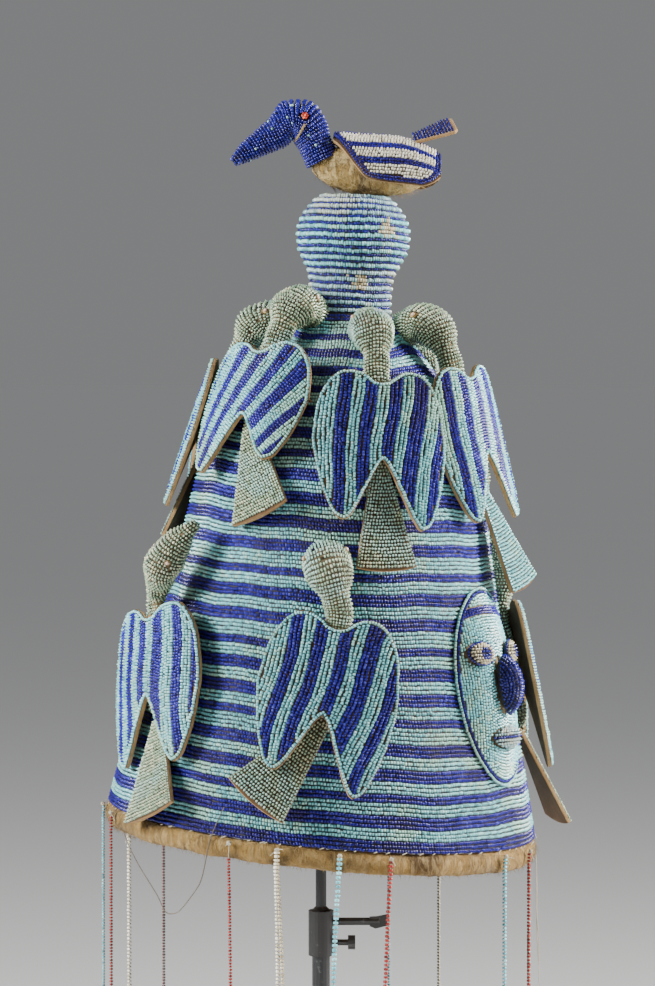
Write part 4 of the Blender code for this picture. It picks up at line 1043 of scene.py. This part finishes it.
def build_finial():
    """Pale and dark rounds of beads on the knob, one thread of each in turn."""
    wear(copy_of("finial", "finial_cloth", angle=50), UNDER_CLOTH, "finial_beads", "finial")
    base = CONE_TOP + GAP
    heights, runs = slope_table(finial_radius, base, base + FINIAL_HEIGHT)
    groups = {PALE_BLUE: [], TURQUOISE: [], NAVY: []}
    around = np.linspace(0, 2 * pi, 170)
    run, dark = 1.3 * MM, False
    while run < runs[-1] - 0.8 * MM:
        drift = 0.35 * MM * np.sin(2 * around + 40 * run) + 0.2 * MM * np.sin(5 * around + 90 * run)
        level = np.interp(run + drift, runs, heights)
        outs = unit(direction(around) - slope_of(finial_radius, level, 0.5 * MM)[:, None] * UP)
        line, outs = carry(SEAT, ring(around, finial_radius(level), level)), outs @ np.array(SEAT)[:3, :3].T
        if dark:
            groups[NAVY].append(thread_beads(line, outs, KNOB_DARK_ROW, -0.2))
        else:
            beads = thread_beads(line, outs, KNOB_PALE_ROW, luck.normal(-0.10, 0.09))
            groups[TURQUOISE if 0.35 < run / runs[-1] < 0.74 else PALE_BLUE].append(beads)
        run += KNOB_STEP
        dark = not dark
    spots = []
    for turn, share in WORN_SPOTS:
        level = base + share * FINIAL_HEIGHT
        spots.append(carry(SEAT, ring(radians(turn), finial_radius(level), np.array(level))))
    sets, worn = [], []
    for glass, rows in groups.items():
        beads = gather(rows)
        pale_here = nearest(beads.at, spots) + luck.normal(0, WORN_RAG, len(beads.at)) < WORN_RADIUS
        sets.append((keep(beads, ~pale_here), glass))
        worn.append(keep(beads, pale_here))
    lay("finial_beads", BLUNT_BEAD, "finial_beads", *sets, (gather(worn), CREAM))


# The birds round the crown

def body_surface(row, seat):
    """A bird's body from an angle round it and a run along it, and the runs of its stations.

    A station has its centre, heading, lean, half width and half depth.
    """
    tall = row.size * row.tier.height
    centre = np.array((0.0, 0.0, TORSO_DEPTH / 2))
    stations = []
    for up, width, depth in TORSO_SECTIONS:
        reach = row.reach if up < 0 else 0
        centre = centre * (1, 0, 1) + (0, (up - reach) * tall, 0)
        stations.append((*centre, 0.0, 0.0, width * TORSO_WIDTH / 2, depth * TORSO_DEPTH / 2))
    for number, (run, turn, width, depth) in enumerate(NECK_SECTIONS):
        heading = radians(row.tier.neck_rise - turn * row.nod)
        lean = radians(row.bow * min(number, 1))
        way = np.array((sin(lean) * cos(heading), cos(lean) * cos(heading), sin(heading)))
        centre = centre + way * run * HEAD_WIDTH
        halves = (size * row.head * HEAD_WIDTH / 2 for size in (width, depth))
        stations.append((*centre, heading, lean, *halves))
    table = np.array(stations)
    runs = distances(table[:, :3])
    phase = luck.uniform(0, 6)

    def surface(angle, run):
        x, y, z, heading, lean, width, depth = (follow(runs, column, run) for column in table.T)
        lumps = np.sin(3 * angle + 260 * run + phase) + np.sin(2 * angle - 430 * run + 2 * phase)
        lumps = BODY_LUMPS * lumps - 0.5 * MM
        across, rise = (width + lumps) * np.cos(angle), (depth + lumps) * np.sin(angle)
        back = np.sin(heading) * rise
        return placed(seat, x + np.cos(lean) * across - np.sin(lean) * back,
                      y - np.sin(lean) * across - np.cos(lean) * back, z + np.cos(heading) * rise)

    return surface, runs


def spots_on(surface, run, *degrees):
    return [surface(np.array(radians(turn)), np.array(run)) for turn in degrees]


def bead_rounds(surface, top, run, row, around, ripple, facing, reach, widths, tone, evened):
    """Rounds of beads from one end of a body to the other, as wide as there is room for."""
    size, folds, turns = ripple
    rows = []
    while run < top:
        where = np.clip(run + size * np.sin(folds * around + turns * run), 0, top)
        wide = np.linalg.norm(surface(around, np.minimum(where + reach, top))
                              - surface(around, np.maximum(where - reach, 0)), axis=-1)
        stretch = max(float(wide.mean()) / (2 * reach), 0.8) if evened else 1
        wide = np.clip(wide / stretch * (1.04 if evened else 1), *widths)
        outs = normals_on(surface, around, where, facing, 0.3 * MM, 0.03)
        rows.append(thread_beads(surface(around, where), outs, row._replace(wide=wide), luck.normal(*tone)))
        run += row.wide / stretch
    return gather(rows)


def build_body(row, seat):
    surface, runs = body_surface(row, seat)
    cloth = copy_of(row.name + "_body", row.name + "_body_cloth", 1, -BODY_SINK)
    wear(cloth, OLIVE_CLOTH, "grey_green_beads", row.name + "_body")
    eye_run = runs[len(TORSO_SECTIONS) + 4] - 1.5 * MM
    eyes = spots_on(surface, eye_run, *EYE_TURNS)
    around = np.linspace(0, 2 * pi, 60) + 0.5 * pi
    beads = bead_rounds(surface, runs[-1], 0.8 * MM, BODY_ROW, around, (0.25 * MM, 3, 60), -1.0, 0.92 * MM,
                        (0.9 * MM, 3.0 * MM), (0, 0.10), True)
    away = clear_of_crown(beads.at) & (nearest(beads.at, eyes) > EYE_CLEARING)
    beads = keep(beads, away & (luck.random(len(beads.at)) > BEADS_LOST))
    sets = [(beads, GREY_GREEN)]
    if row.name == "upper6":
        blue = nearest(beads.at, spots_on(surface, eye_run - 1 * MM, 70)) < 4.2 * MM
        sets = [(keep(beads, ~blue), GREY_GREEN), (keep(beads, blue), PALE_BLUE)]
    lay(row.name + "_body_beads", DOT_BEAD, "grey_green_beads", *sets)
    build_eyes(row.name, eyes, sum(spots_on(surface, eye_run, 90, 270)) / 2)


def build_eyes(name, eyes, centre):
    """A small worn disc of hide on each side of the head with a rose bead on it."""
    parts = []
    for eye in eyes:
        disc = new_piece(bpy.ops.mesh.primitive_uv_sphere_add, segments=16, ring_count=10, radius=1.0)
        turn = Vector(unit(eye - centre)).to_track_quat("Z", "Y").to_matrix().to_4x4()
        size = Matrix.Diagonal((*EYE_DISC, 1))
        disc.matrix_world = Matrix.Translation(Vector(eye)) @ turn @ size
        fix_place()
        ruffle(disc, 1.2 * MM, 0.35 * MM)
        round_off(disc)
        parts.append(disc)
    wear(join(name + "_eye_hide", *parts), BODY_HIDE, "tan_hide")
    at = np.array([eye + unit(eye - centre) * 0.75 * MM for eye in eyes])
    out = unit(at - centre)
    size = np.full(len(at), EYE_BEAD)
    beads = Beads(at, unit(np.cross(out, (0.3, 0.1, 1.0))), out, size, size, size * 0.8, np.full(len(at), 0.5))
    lay(name + "_eye_beads", model_round_bead(12, 8), "grey_green_beads", (beads, ROSE))


def plate_from_grid(name, columns, rows, spread, thick, slot, node, *finishes):
    """A flat grid spread on a shape, given its thickness outwards and its edges rounded."""
    plate = new_piece(bpy.ops.mesh.primitive_grid_add, x_subdivisions=columns, y_subdivisions=rows, size=2)
    plate.name = plate.data.name = name
    flat = points_of(plate)
    points = spread(flat[:, 0], flat[:, 1])
    plate.data.vertices.foreach_set("co", np.ascontiguousarray(points, float).ravel())
    plate.data.update()
    for finish in finishes:
        plate.data.materials.append(finish)
    apply(plate, "SOLIDIFY", thickness=thick, offset=1.0, material_offset_rim=len(finishes) - 1)
    apply(plate, "BEVEL", width=0.4 * MM, segments=2, limit_method="ANGLE", angle_limit=radians(50))
    round_off(plate, 60)
    return wear(plate, None, slot, node)


def inset(path, depth):
    """A closed line moved in from another, without the places where it would cross itself."""
    ahead = np.roll(path[:-1], -1, axis=0) - np.roll(path[:-1], 1, axis=0)
    ahead /= np.linalg.norm(ahead, axis=1, keepdims=True)
    inner = path[:-1] + np.stack([ahead[:, 1], -ahead[:, 0]], -1) * depth
    inner = inner[off_path(inner, path) > 0.93 * depth]
    return np.concatenate([inner, inner[:1]])


def build_wings(row, seat):
    """A bent, heart-shaped plate with upright stripes and a corded border."""
    tall = row.size * row.tier.height
    half = row.breadth * row.size * row.tier.span / 2

    def top(share):
        return follow(WING_SHARES, WING_TOPS, np.abs(share)) * tall

    def foot(share):
        skewed = row.skew * np.minimum(np.abs(share) / 0.57, 1) * np.sign(share)
        return (follow(WING_SHARES, WING_FEET, np.abs(share)) - np.minimum(skewed, 0)) * tall

    def bent(across, level, out):
        turn = across / row.tier.bend
        radius = row.tier.bend + out
        floor = 0.97 * TORSO_DEPTH + 3 * GAP
        return placed(seat, radius * np.sin(turn), level, floor + radius * np.cos(turn) - row.tier.bend)

    def spread(x, y):
        share = np.sin(x * pi / 2)
        low, high = foot(share) - 0.2 * MM, top(share) + 0.2 * MM
        level = low + (high - low) * (y + 1) / 2
        rag = 0.25 * MM * np.sin(37 * share + 9 * y) * np.abs(y) ** 8
        return bent(share * half, level + rag, 0.15 * MM)

    cloth = plate_from_grid(row.name + "_wings_cloth", 46, 12, spread, WING_THICK - 0.5 * MM, "striped_beads",
                            row.name + "_wings", BROWN_CLOTH, EDGE_CLOTH)
    edges = np.array([face.material_index == 1 for face in cloth.data.polygons])
    down = -np.array(seat.to_3x3() @ Vector((0, 0.6, -0.5)))
    grow_hairs(row.name + "_wing_hairs", cloth, "striped_beads", WING_HAIRS, 2.2 * MM, down, edges)

    share = np.sin(np.linspace(-pi / 2, pi / 2, 500))
    path = closed_path((share * half, top(share)), (share[::-1] * half, foot(share[::-1])), 261)

    def beaded(flat, sizes, tone):
        out = WING_THICK - 0.1 * MM + WING_PUFF * (1 - np.exp(-off_path(flat, path) / PUFF_REACH))
        line = bent(flat[:, 0], flat[:, 1], out)
        return thread_beads(line, unit(bent(flat[:, 0], flat[:, 1], out + MM) - line), sizes, tone)

    border = [beaded(inset(path, 1.0 * MM), BORDER_ROW, 0.12)]
    stripes = [], []
    shift = int(luck.integers(0, 4))
    phase = luck.uniform(0, 6)
    wave = luck.uniform(0.8, 1.3)
    count = int(2 * half / WING_ROW) + 20
    levels = np.arange(-0.56 * tall, 0.5 * tall, FINE_STEP)
    for number in range(count):
        offset = (number - count / 2) * WING_ROW
        slant = row.slant * (1 + 0.5 * offset / half)
        across = (offset + slant * levels + wave * MM * np.sin(levels / (11 * MM) + offset / (28 * MM) + phase)
                  + 0.28 * MM * np.sin(levels / (4.5 * MM) + luck.uniform(0, 6)))
        flat = np.stack([across, levels], -1)
        share = np.clip(across / half, -1, 1)
        inside = ((np.abs(across / half) < 0.995) & (levels < top(share) - 1.2 * MM)
                  & (levels > foot(share) + 1.2 * MM) & (off_path(flat, path) > BORDER_CLEARING))
        tone = luck.normal(0, 0.05)
        kind = WING_STRIPES[(number + shift) % len(WING_STRIPES)]
        for first, last in stretches(np.where(inside, 0, -1)):
            stripes[kind].append(beaded(flat[first:last], STRIPE_ROW, tone))
    lay(row.name + "_wing_beads", ROW_BEAD, "striped_beads", (gather(stripes[0] + border), TURQUOISE),
        (gather(stripes[1]), COBALT))


def build_tail(row, seat):
    """A fan-shaped plate with level rows and a thread down each side."""
    length, foot = row.tier.tail_length, row.breadth * row.tier.tail_width / 2
    swing, flare = radians(row.swing), -radians(row.tail_flare)
    root = (TORSO_SECTIONS[0][0] - row.reach) * row.size * row.tier.height

    def half(down):
        share = np.clip(down / (0.96 * length), 0, 1)
        rounded = np.sqrt(np.clip(TAIL_ROOT ** 2 - np.minimum(down, 0) ** 2, 0, None))
        return np.where(down < 0, rounded, TAIL_ROOT + share * (foot - TAIL_ROOT))

    def bent(across, down, layer):
        y = across * sin(swing) - down * cos(swing)
        return placed(seat, across * cos(swing) + down * sin(swing),
                      y * cos(flare) + root - GAP - TAIL_ROOT,
                      y * sin(flare) + TORSO_DEPTH * 0.45 + (layer - 0.5) * TAIL_THICK)

    def spread(x, y):
        down = -0.85 * TAIL_ROOT + (1 + y) / 2 * (length * (1 - 0.04 * x * x) + 0.85 * TAIL_ROOT)
        return bent(-x * half(down), down, 0.1)

    def beaded(across, down, sizes, tone=0.0):
        puff = 0.5 * MM * (1 - (across / np.maximum(half(down), MM)) ** 2)
        line = bent(across, down, 0.95)
        outs = unit(bent(across, down, 1.95) - line)
        return thread_beads(line + outs * puff[:, None], outs, sizes, tone)

    plate_from_grid(row.name + "_tail_cloth", 14, 30, spread, TAIL_THICK - 0.7 * MM, "grey_green_beads",
                    row.name + "_tail", BROWN_CLOTH, EDGE_CLOTH)
    rows = []
    for down in np.arange(-0.5 * TAIL_ROOT, length - 2.6 * MM, TAIL_STEP):
        reach = float(half(down)) - 1.0 * MM
        across = np.linspace(-reach, reach, 24)
        sag = down + 0.8 * MM * (1 - (across / reach) ** 2) * min(down / length + 0.3, 1)
        rows.append(beaded(across, sag, TAIL_ROW, luck.normal(0.08, 0.07)))
    down = np.linspace(0, length * 0.95, 60)
    for side in (-1, 1):
        rows.append(beaded(side * (half(down) - 0.5 * MM), down, TAIL_SIDE_ROW))
    lay(row.name + "_tail_beads", DOT_BEAD, "grey_green_beads",
        (gather(rows), TURQUOISE if row.name == "upper1" else GREY_GREEN))


def build_birds():
    for row in BIRDS:
        seat = bird_frame(row)
        build_body(row, seat)
        build_wings(row, seat)
        build_tail(row, seat)


# The bird on the finial

def build_top_body(seat):
    body = copy_of("top_bird_body", "top_bird_hide", 3)
    ruffle(body, 9 * MM, 1.6 * MM)
    ruffle(body, 2.5 * MM, 0.7 * MM, 3)
    wear(body, BODY_HIDE, "tan_hide", "top_bird_body")
    back = -np.array(seat.to_3x3() @ Vector((1.3, 0, 0.4)))
    grow_hairs("top_bird_hairs", body, "tan_hide", TOP_HAIRS, 4.6 * MM, back)


def top_head_surface(seat):
    """The neck, head and beak. The angle runs across first, and a tilt leans each round."""
    root_up = TOP_BIRD_HEIGHT / 2 * cos(pi / TOP_BIRD_SIDES) + 0.11 * TOP_BIRD_HEIGHT
    root = TOP_BIRD_MIDDLE + 0.41 * TOP_BIRD_LENGTH
    stations = []
    for rows, start, reach in ((TOP_NECK, root, TOP_HEAD_DEPTH),
                               (TOP_BEAK, root + 0.86 * TOP_HEAD_DEPTH, TOP_BEAK_LENGTH * 0.78)):
        for along, up, tilt, width, depth in rows:
            stations.append((start + along * reach, root_up + up * TOP_HEAD_DEPTH, radians(tilt),
                             width * TOP_HEAD_DEPTH / 2, depth * TOP_HEAD_DEPTH / 2))
    table = np.array(stations)
    runs = distances(table[:, :2])

    def surface(angle, run):
        x, z, tilt, width, depth = (follow(runs, column, run) for column in table.T)
        rise = depth * np.sin(angle)
        return placed(seat, x - np.cos(tilt) * rise, width * np.cos(angle), z + np.sin(tilt) * rise)

    return surface, runs


def build_top_head(seat):
    """Rounds of dark blue beads from the neck to the tip of the long beak, with a scarlet eye on each side."""
    surface, runs = top_head_surface(seat)
    cloth = copy_of("top_bird_head", "top_bird_head_cloth", 1)
    wear(cloth, UNDER_CLOTH, "dark_blue_beads", "top_bird_head")
    eye_run = runs[3] - 1.0 * MM
    eyes = spots_on(surface, eye_run, *TOP_EYE_TURNS)
    inner = sum(spots_on(surface, eye_run, 90, 270)) / 2
    around = np.linspace(0, 2 * pi, 70) - 0.5 * pi
    beads = bead_rounds(surface, runs[-1], 0.6 * MM, TOP_HEAD_ROW, around, (0.2 * MM, 2, 70), 1.0, 0.85 * MM,
                        (0.8 * MM, 2.9 * MM), (-0.08, 0.06), False)
    middle = carry(seat, np.array((TOP_BIRD_MIDDLE, 0, TOP_BIRD_HEIGHT / 2)))
    away = (nearest(beads.at, [middle]) > 17 * MM) & (nearest(beads.at, eyes) > TOP_EYE_CLEARING)
    pale = luck.random(len(beads.at)) < BEADS_PALE
    lay("top_bird_head_beads", BLUNT_BEAD, "dark_blue_beads", (keep(beads, away & ~pale), NAVY),
        (keep(beads, away & pale), PALE_BLUE))
    spots, outs = [], []
    for eye in eyes:
        out = unit(eye - inner)
        side = unit(np.cross(out, UP))
        for turn in np.arange(6) * 1.05:
            aside = side * cos(turn) + np.cross(side, out) * sin(turn)
            spots.append(eye + aside * 1.35 * MM + out * 0.5 * MM)
        spots.append(eye + out * 1.0 * MM)
        outs += [out] * 7
    outs = np.array(outs)
    size = np.full(len(outs), TOP_EYE_BEAD)
    ahead = unit(np.cross(outs, (0.2, 0.1, 1)))
    glass = Beads(np.array(spots), ahead, outs, size, size, size, luck.random(len(outs)))
    lay("top_bird_eyes", ROUND_BEAD, "dark_blue_beads", (glass, SCARLET))
    parts = []
    for start, side in ((0, 1), (pi, -1)):
        line = surface(start - side * np.linspace(0.1, 1.15, 9), eye_run - np.linspace(2.2, 5.5, 9) * MM)
        parts.append(thread_tube("crease", line + unit(line - inner) * 0.5 * MM, 0.75 * MM, BODY_HIDE))
    wear(join("top_bird_head_crease", *parts), None, "tan_hide")


def build_saddle(seat):
    """The top bird's wings: an arched plate with rows of white and blue beads along it."""
    order = np.argsort(SADDLE_ALONG)
    place = np.array(SADDLE_ALONG)[order] * TOP_BIRD_LENGTH
    crests = np.array(SADDLE_CREST)[order]
    reaches = [acos(max(1 - side / crest, -1)) for crest, side in zip(SADDLE_CREST, SADDLE_SIDE)]
    reaches = np.array(reaches)[order]
    turns = np.linspace(-2.2, 2.2, 400)
    half = SADDLE_SPREAD * TOP_BIRD_WIDTH / 2
    arch = [(half + SADDLE_THICK) * np.sin(turns), SADDLE_CREST[3] * TOP_BIRD_HEIGHT * np.cos(turns)]
    arc = distances(np.stack(arch, -1))
    arc = arc - np.interp(0, turns, arc)
    low, high = place[0], place[-1]

    def bent(turn, along, layer):
        crest = follow(place, crests, along) * TOP_BIRD_HEIGHT + (layer - 1) * SADDLE_THICK
        return placed(seat, along, (half + SADDLE_THICK * layer) * np.sin(turn), crest * np.cos(turn))

    def spread(x, y):
        along = low + (high - low) * (1 + np.sin(x * pi / 2)) / 2
        return bent(-y * follow(place, reaches, along), along, 0.1)

    def beaded(flat, sizes, tone=0.0):
        turn = np.interp(flat[:, 1], arc, turns)
        line = bent(turn, flat[:, 0], 0.96)
        return thread_beads(line, unit(bent(turn, flat[:, 0], 1.5) - line), sizes, tone)

    def edge(along):
        return np.interp(follow(place, reaches, along), turns, arc)

    plate_from_grid("top_bird_wings_cloth", 40, 24, spread, SADDLE_THICK - 0.6 * MM, "white_striped_beads",
                    "top_bird_wings", BROWN_CLOTH, EDGE_CLOTH)
    along = low + (high - low) * (1 + np.sin(np.linspace(-1, 1, 300) * pi / 2)) / 2
    path = closed_path((along, edge(along)), (along[::-1], -edge(along)[::-1]), 301)
    rows = [beaded(inset(path, depth * MM), SADDLE_EDGE_ROW) for depth in (1.0, 2.6)], []
    x = np.arange(low, high, FINE_STEP)
    for side in (-1, 1):
        for number, kind in enumerate(SADDLE_STRIPES):
            offset = side * (number + 0.5) * SADDLE_STEP
            y = offset + 0.6 * MM * np.sin(x / (9 * MM) + offset / (9 * MM))
            flat = np.stack([x, y], -1)
            inside = (np.abs(y) < edge(x)) & (off_path(flat, path) > SADDLE_CLEARING)
            for first, last in stretches(np.where(inside, 0, -1)):
                rows[kind].append(beaded(flat[first:last], SADDLE_ROWS[kind], luck.normal(0, 0.05)))
    lay("top_bird_wing_beads", ROW_BEAD, "white_striped_beads", (gather(rows[1]), CHALK),
        (gather(rows[0]), COBALT))


def build_top_tail(seat):
    """A small upturned plate: dark blue rows above, tan cloth below."""
    back = Vector((-cos(TOP_TAIL_RISE), 0, sin(TOP_TAIL_RISE)))
    roll = Matrix.Rotation(TOP_TAIL_ROLL, 3, back)
    side, up = roll @ Vector((0, 1, 0)), roll @ Vector((sin(TOP_TAIL_RISE), 0, cos(TOP_TAIL_RISE)))
    plate = Matrix((side, back, up)).transposed().to_4x4()
    plate.translation = Vector((-0.46 * TOP_BIRD_LENGTH, 0, 1.035 * TOP_BIRD_HEIGHT))
    plate = seat @ plate

    def half(along):
        return follow((0, 0.55, 0.92, 1.0), (0.30, 0.44, 0.52, 0.40), along / TOP_TAIL_LENGTH) * TOP_TAIL_WIDTH

    def spread(x, y):
        along = TOP_TAIL_LENGTH * (1 + y) / 2
        return placed(plate, x * half(along), along, 0.1 * TOP_TAIL_THICK)

    plate_from_grid("top_bird_tail_cloth", 12, 14, spread, TOP_TAIL_THICK * 0.75, "dark_blue_beads",
                    "top_bird_tail", EDGE_CLOTH)
    rows = []
    outs = np.tile(np.array(plate.to_3x3() @ Vector(UP)), (20, 1))
    for along in np.arange(0.8 * MM, TOP_TAIL_LENGTH - 1.6 * MM, TOP_TAIL_ROW.wide):
        across = np.linspace(-1, 1, 20) * (float(half(along)) - 0.6 * MM)
        line = placed(plate, across, along, 0.9 * TOP_TAIL_THICK)
        rows.append(thread_beads(line, outs, TOP_TAIL_ROW, -0.22))
    lay("top_bird_tail_beads", ROW_BEAD, "dark_blue_beads", (gather(rows), NAVY))


def build_top_bird():
    ahead = direction(TOP_BIRD_ANGLE)
    seat = (SEAT @ Matrix.Translation((0, 0, CONE_TOP + FINIAL_HEIGHT + 2 * GAP))
            @ Matrix.Rotation(atan2(ahead[1], ahead[0]), 4, "Z"))
    build_top_body(seat)
    build_top_head(seat)
    build_saddle(seat)
    build_top_tail(seat)


# The face, in a general calm design

def face_skin(across, up, rise, over):
    """A point on the face: over the shell by the plate's dome and a further rise."""
    share = np.minimum((across / (FACE_WIDTH / 2)) ** 2 + (up / (FACE_HEIGHT / 2)) ** 2, 1)
    height = CONE_FOOT + FACE_LEVEL * CONE_HEIGHT + up
    return on_crown(height, across / crown_radius(height), over + (FACE_EDGE + FACE_DOME * (1 - share)) + rise)


def plate_skin(across, up):
    return face_skin(across, up, 0, GAP)


def face_beads(skin, flat, wide, tone=0.0):
    if len(flat) < 3:
        return None
    outs = normals_on(skin, flat[:, 0], flat[:, 1])
    return thread_beads(skin(flat[:, 0], flat[:, 1]), outs, SHELL_ROW._replace(wide=wide), tone)


def oval_beads(skin, centre, half, inward, wide):
    """One thread of beads round an oval's edge."""
    t = np.linspace(0, 2 * pi, 160)
    flat = [centre[0] + (half[0] - inward) * np.cos(t), centre[1] + (half[1] - inward) * np.sin(t)]
    return face_beads(skin, np.stack(flat, -1), wide)


def rows_in_oval(skin, centre, half, arch, edge, step, upright, choose, avoid=()):
    """Straight rows over a domed oval, sorted by choose, which is given a row's offset and its places."""
    across, along = (0, 1) if upright else (1, 0)
    made = {}
    turn = np.linspace(-pi / 2, pi / 2, 400)
    reach = half[across] - edge
    flat_run = reach * np.sin(turn)
    run = distances(np.stack([flat_run, arch * np.cos(turn)], -1))
    count = max(int(run[-1] / step), 3)
    for offset in np.interp((np.arange(count) + 0.5) * run[-1] / count, run, flat_run):
        length = (half[along] - edge) * sqrt(1 - (offset / reach) ** 2)
        places = np.arange(-length, length, FINE_STEP)
        if len(places) < 4:
            continue
        flat = np.empty((len(places), 2))
        flat[:, across] = centre[across] + offset
        flat[:, along] = centre[along] + places
        free = np.ones(len(places), bool)
        for middle, size in avoid:
            free &= (((flat - middle) / size) ** 2).sum(1) > 1
        kinds = np.where(free, choose(offset, places, half), -1)
        for first, last in stretches(kinds):
            tone = luck.normal(0, 0.05)
            made.setdefault(int(kinds[first]), []).append(face_beads(skin, flat[first:last], step, tone))
    return made


def patch_measures(name):
    across, up, width, height, rise = FACE_PATCHES[name]
    return (across * FACE_WIDTH, up * FACE_HEIGHT), (width * FACE_WIDTH / 2, height * FACE_HEIGHT / 2), rise


def bead_patch(name, edge, step, upright, choose, glass, slot, rim):
    """Rows of beads on one raised part of the face. Each kind has its glass."""
    centre, half, rise = patch_measures(name)

    def skin(across, up):
        share = np.minimum(((across - centre[0]) / half[0]) ** 2 + ((up - centre[1]) / half[1]) ** 2, 1)
        return face_skin(across, up, rise * 0.97 * np.sqrt(1 - share), 2 * GAP)

    made = rows_in_oval(skin, centre, half, rise, edge, step, upright, choose)
    if rim:
        made.setdefault(1, []).append(oval_beads(skin, centre, half, 0.7 * MM, step))
    lay(name + "_beads", ROW_BEAD, slot, *[(gather(made[kind]), glass[kind]) for kind in sorted(made)])


def brow(offset, places, half):
    """Which beads are in the brow's arch."""
    lift = places - 0.30 * FACE_HEIGHT - 0.06 * FACE_HEIGHT * cos(offset / (0.7 * half[0]))
    return (lift > 0) & (lift < 4.6 * MM)


def pupil(offset, places, half):
    return (places / (0.36 * half[0])) ** 2 + (offset / (0.55 * half[1])) ** 2 < 1


def build_face():
    """Upright rows on a domed oval, a blue and a turquoise border, and beaded nose, eyes and mouth."""
    for node in ("face_plate", *FACE_PATCHES):
        pad = copy_of(node, node + "_cloth", 1, -FACE_SINK)
        wear(pad, OLIVE_CLOTH if node == "face_plate" else UNDER_CLOTH, "face_beads", node)
    half = (FACE_WIDTH / 2, FACE_HEIGHT / 2)
    spots = []
    for name in FACE_PATCHES:
        centre, size, _ = patch_measures(name)
        spots.append((centre, (size[0] - 0.4 * MM, size[1] - 0.4 * MM)))
    made = rows_in_oval(plate_skin, (0, 0), half, FACE_DOME, 3.4 * MM, 1.8 * MM, True, brow, spots)
    for kind, inward, wide in ((0, 0.9 * MM, 1.9 * MM), (1, 2.7 * MM, 1.7 * MM)):
        made.setdefault(kind, []).append(oval_beads(plate_skin, (0, 0), half, inward, wide))
    lay("face_field_beads", ROW_BEAD, "face_beads", (gather(made[0]), TURQUOISE), (gather(made[1]), COBALT))
    bead_patch("face_nose", 0.3 * MM, 1.8 * MM, True, lambda *_: 0, (NAVY,), "dark_blue_beads", False)
    for name in ("face_eye_left", "face_eye_right"):
        bead_patch(name, 1.2 * MM, 1.6 * MM, False, pupil, (CREAM, NAVY), "face_beads", True)
    bead_patch("face_mouth", 0.4 * MM, 1.6 * MM, False, lambda offset, *_: abs(offset) < 0.8 * MM,
               (PALE_BLUE, NAVY), "face_beads", False)


# The rim

def build_rim():
    """The roll of hide under the shell, creased, hairy and sewn on with pale thread."""
    roll = copy_of("rim_band", "rim_hide", 3)
    ruffle(roll, 14 * MM, 2.6 * MM)
    ruffle(roll, 4 * MM, 0.9 * MM, 3)
    wear(roll, RIM_HIDE, "tan_hide", "rim_band")
    centres = np.array([face.center for face in roll.data.polygons])
    outer = np.linalg.norm(centres[:, :2], axis=1) > BAND_RADIUS - 0.45 * BAND_DEPTH
    grow_hairs("rim_hairs", roll, "tan_hide", RIM_HAIRS, 2.6 * MM, (0, 0, -0.9), outer)
    out, thick = 1.6 * MM, np.full(STITCHES, 0.6 * MM)
    angle = np.arange(STITCHES) * 2 * pi / STITCHES + luck.normal(0, 0.03, STITCHES)
    at = on_crown(CONE_FOOT - 0.2 * MM, angle, luck.normal(out, 0.2 * MM, STITCHES))
    ahead = unit(on_crown(CONE_FOOT + 0.6 * MM, angle + 0.02, out) - at)
    stitches = Beads(at, ahead, square_to(direction(angle), ahead), luck.uniform(1.6, 4.8, STITCHES) * MM,
                     thick, thick, luck.random(STITCHES))
    lay("rim_stitches", ROUND_BEAD, "thread", (stitches, PALE_THREAD))


def string_ties():
    """A small knot where each string is sewn to the rim."""
    knots = [knot_lump("tie", strand_route(row)[0] + direction(radians(row.angle)) * 0.4 * MM, 2.6 * MM, 3)
             for row in STRANDS]
    wear(join("rim_string_ties", *knots), None, "thread")


def build_loose_threads():
    """A sewing thread that loops below the rim and back up to a tail, and two ends at the right."""
    points = [on_rim(degrees, height * MM, out * MM) for degrees, height, out in LOOSE_WAY]
    points += [on_crown(12 * MM, radians(-88), 2.0 * MM), on_crown(21 * MM, radians(-86.5), 2.0 * MM)]
    line = smooth_line(points, 46)
    loop = wear(thread_tube("rim_loose_thread", line, 0.3 * MM, BROWN_THREAD), None, "thread")
    hang(loop, line, 0.6 * MM, "object", "medium")
    for number, (degrees, drop) in enumerate(((27, 74), (24, 58))):
        top = on_rim(degrees, -3 * MM, 0.3 * MM)
        way = direction(radians(degrees)) * 1.2 * MM
        line = smooth_line([top + way * min(4 * step, 1) + (0.5 * MM * sin(7 * step + number),
                                                            0.8 * MM * sin(5 * step), -drop * MM * step)
                            for step in np.linspace(0, 1, 12)])
        end = wear(thread_tube(f"rim_thread_end{number + 1}", line, 0.25 * MM, PALE_THREAD), None, "thread")
        hang(end, line, 0.5 * MM, "bare", "limp")


def dress_stand():
    for node, finish in (("stand_post", BLACK_PAINT), ("stand_clamp", SCREW_PAINT)):
        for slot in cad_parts[node].material_slots:
            slot.material = finish


set_camera()
build_floor()
set_lights()
build_strands()
build_shell_cloth()
build_shell()
build_finial()
build_birds()
build_top_bird()
build_face()
build_rim()
string_ties()
build_loose_threads()
dress_stand()
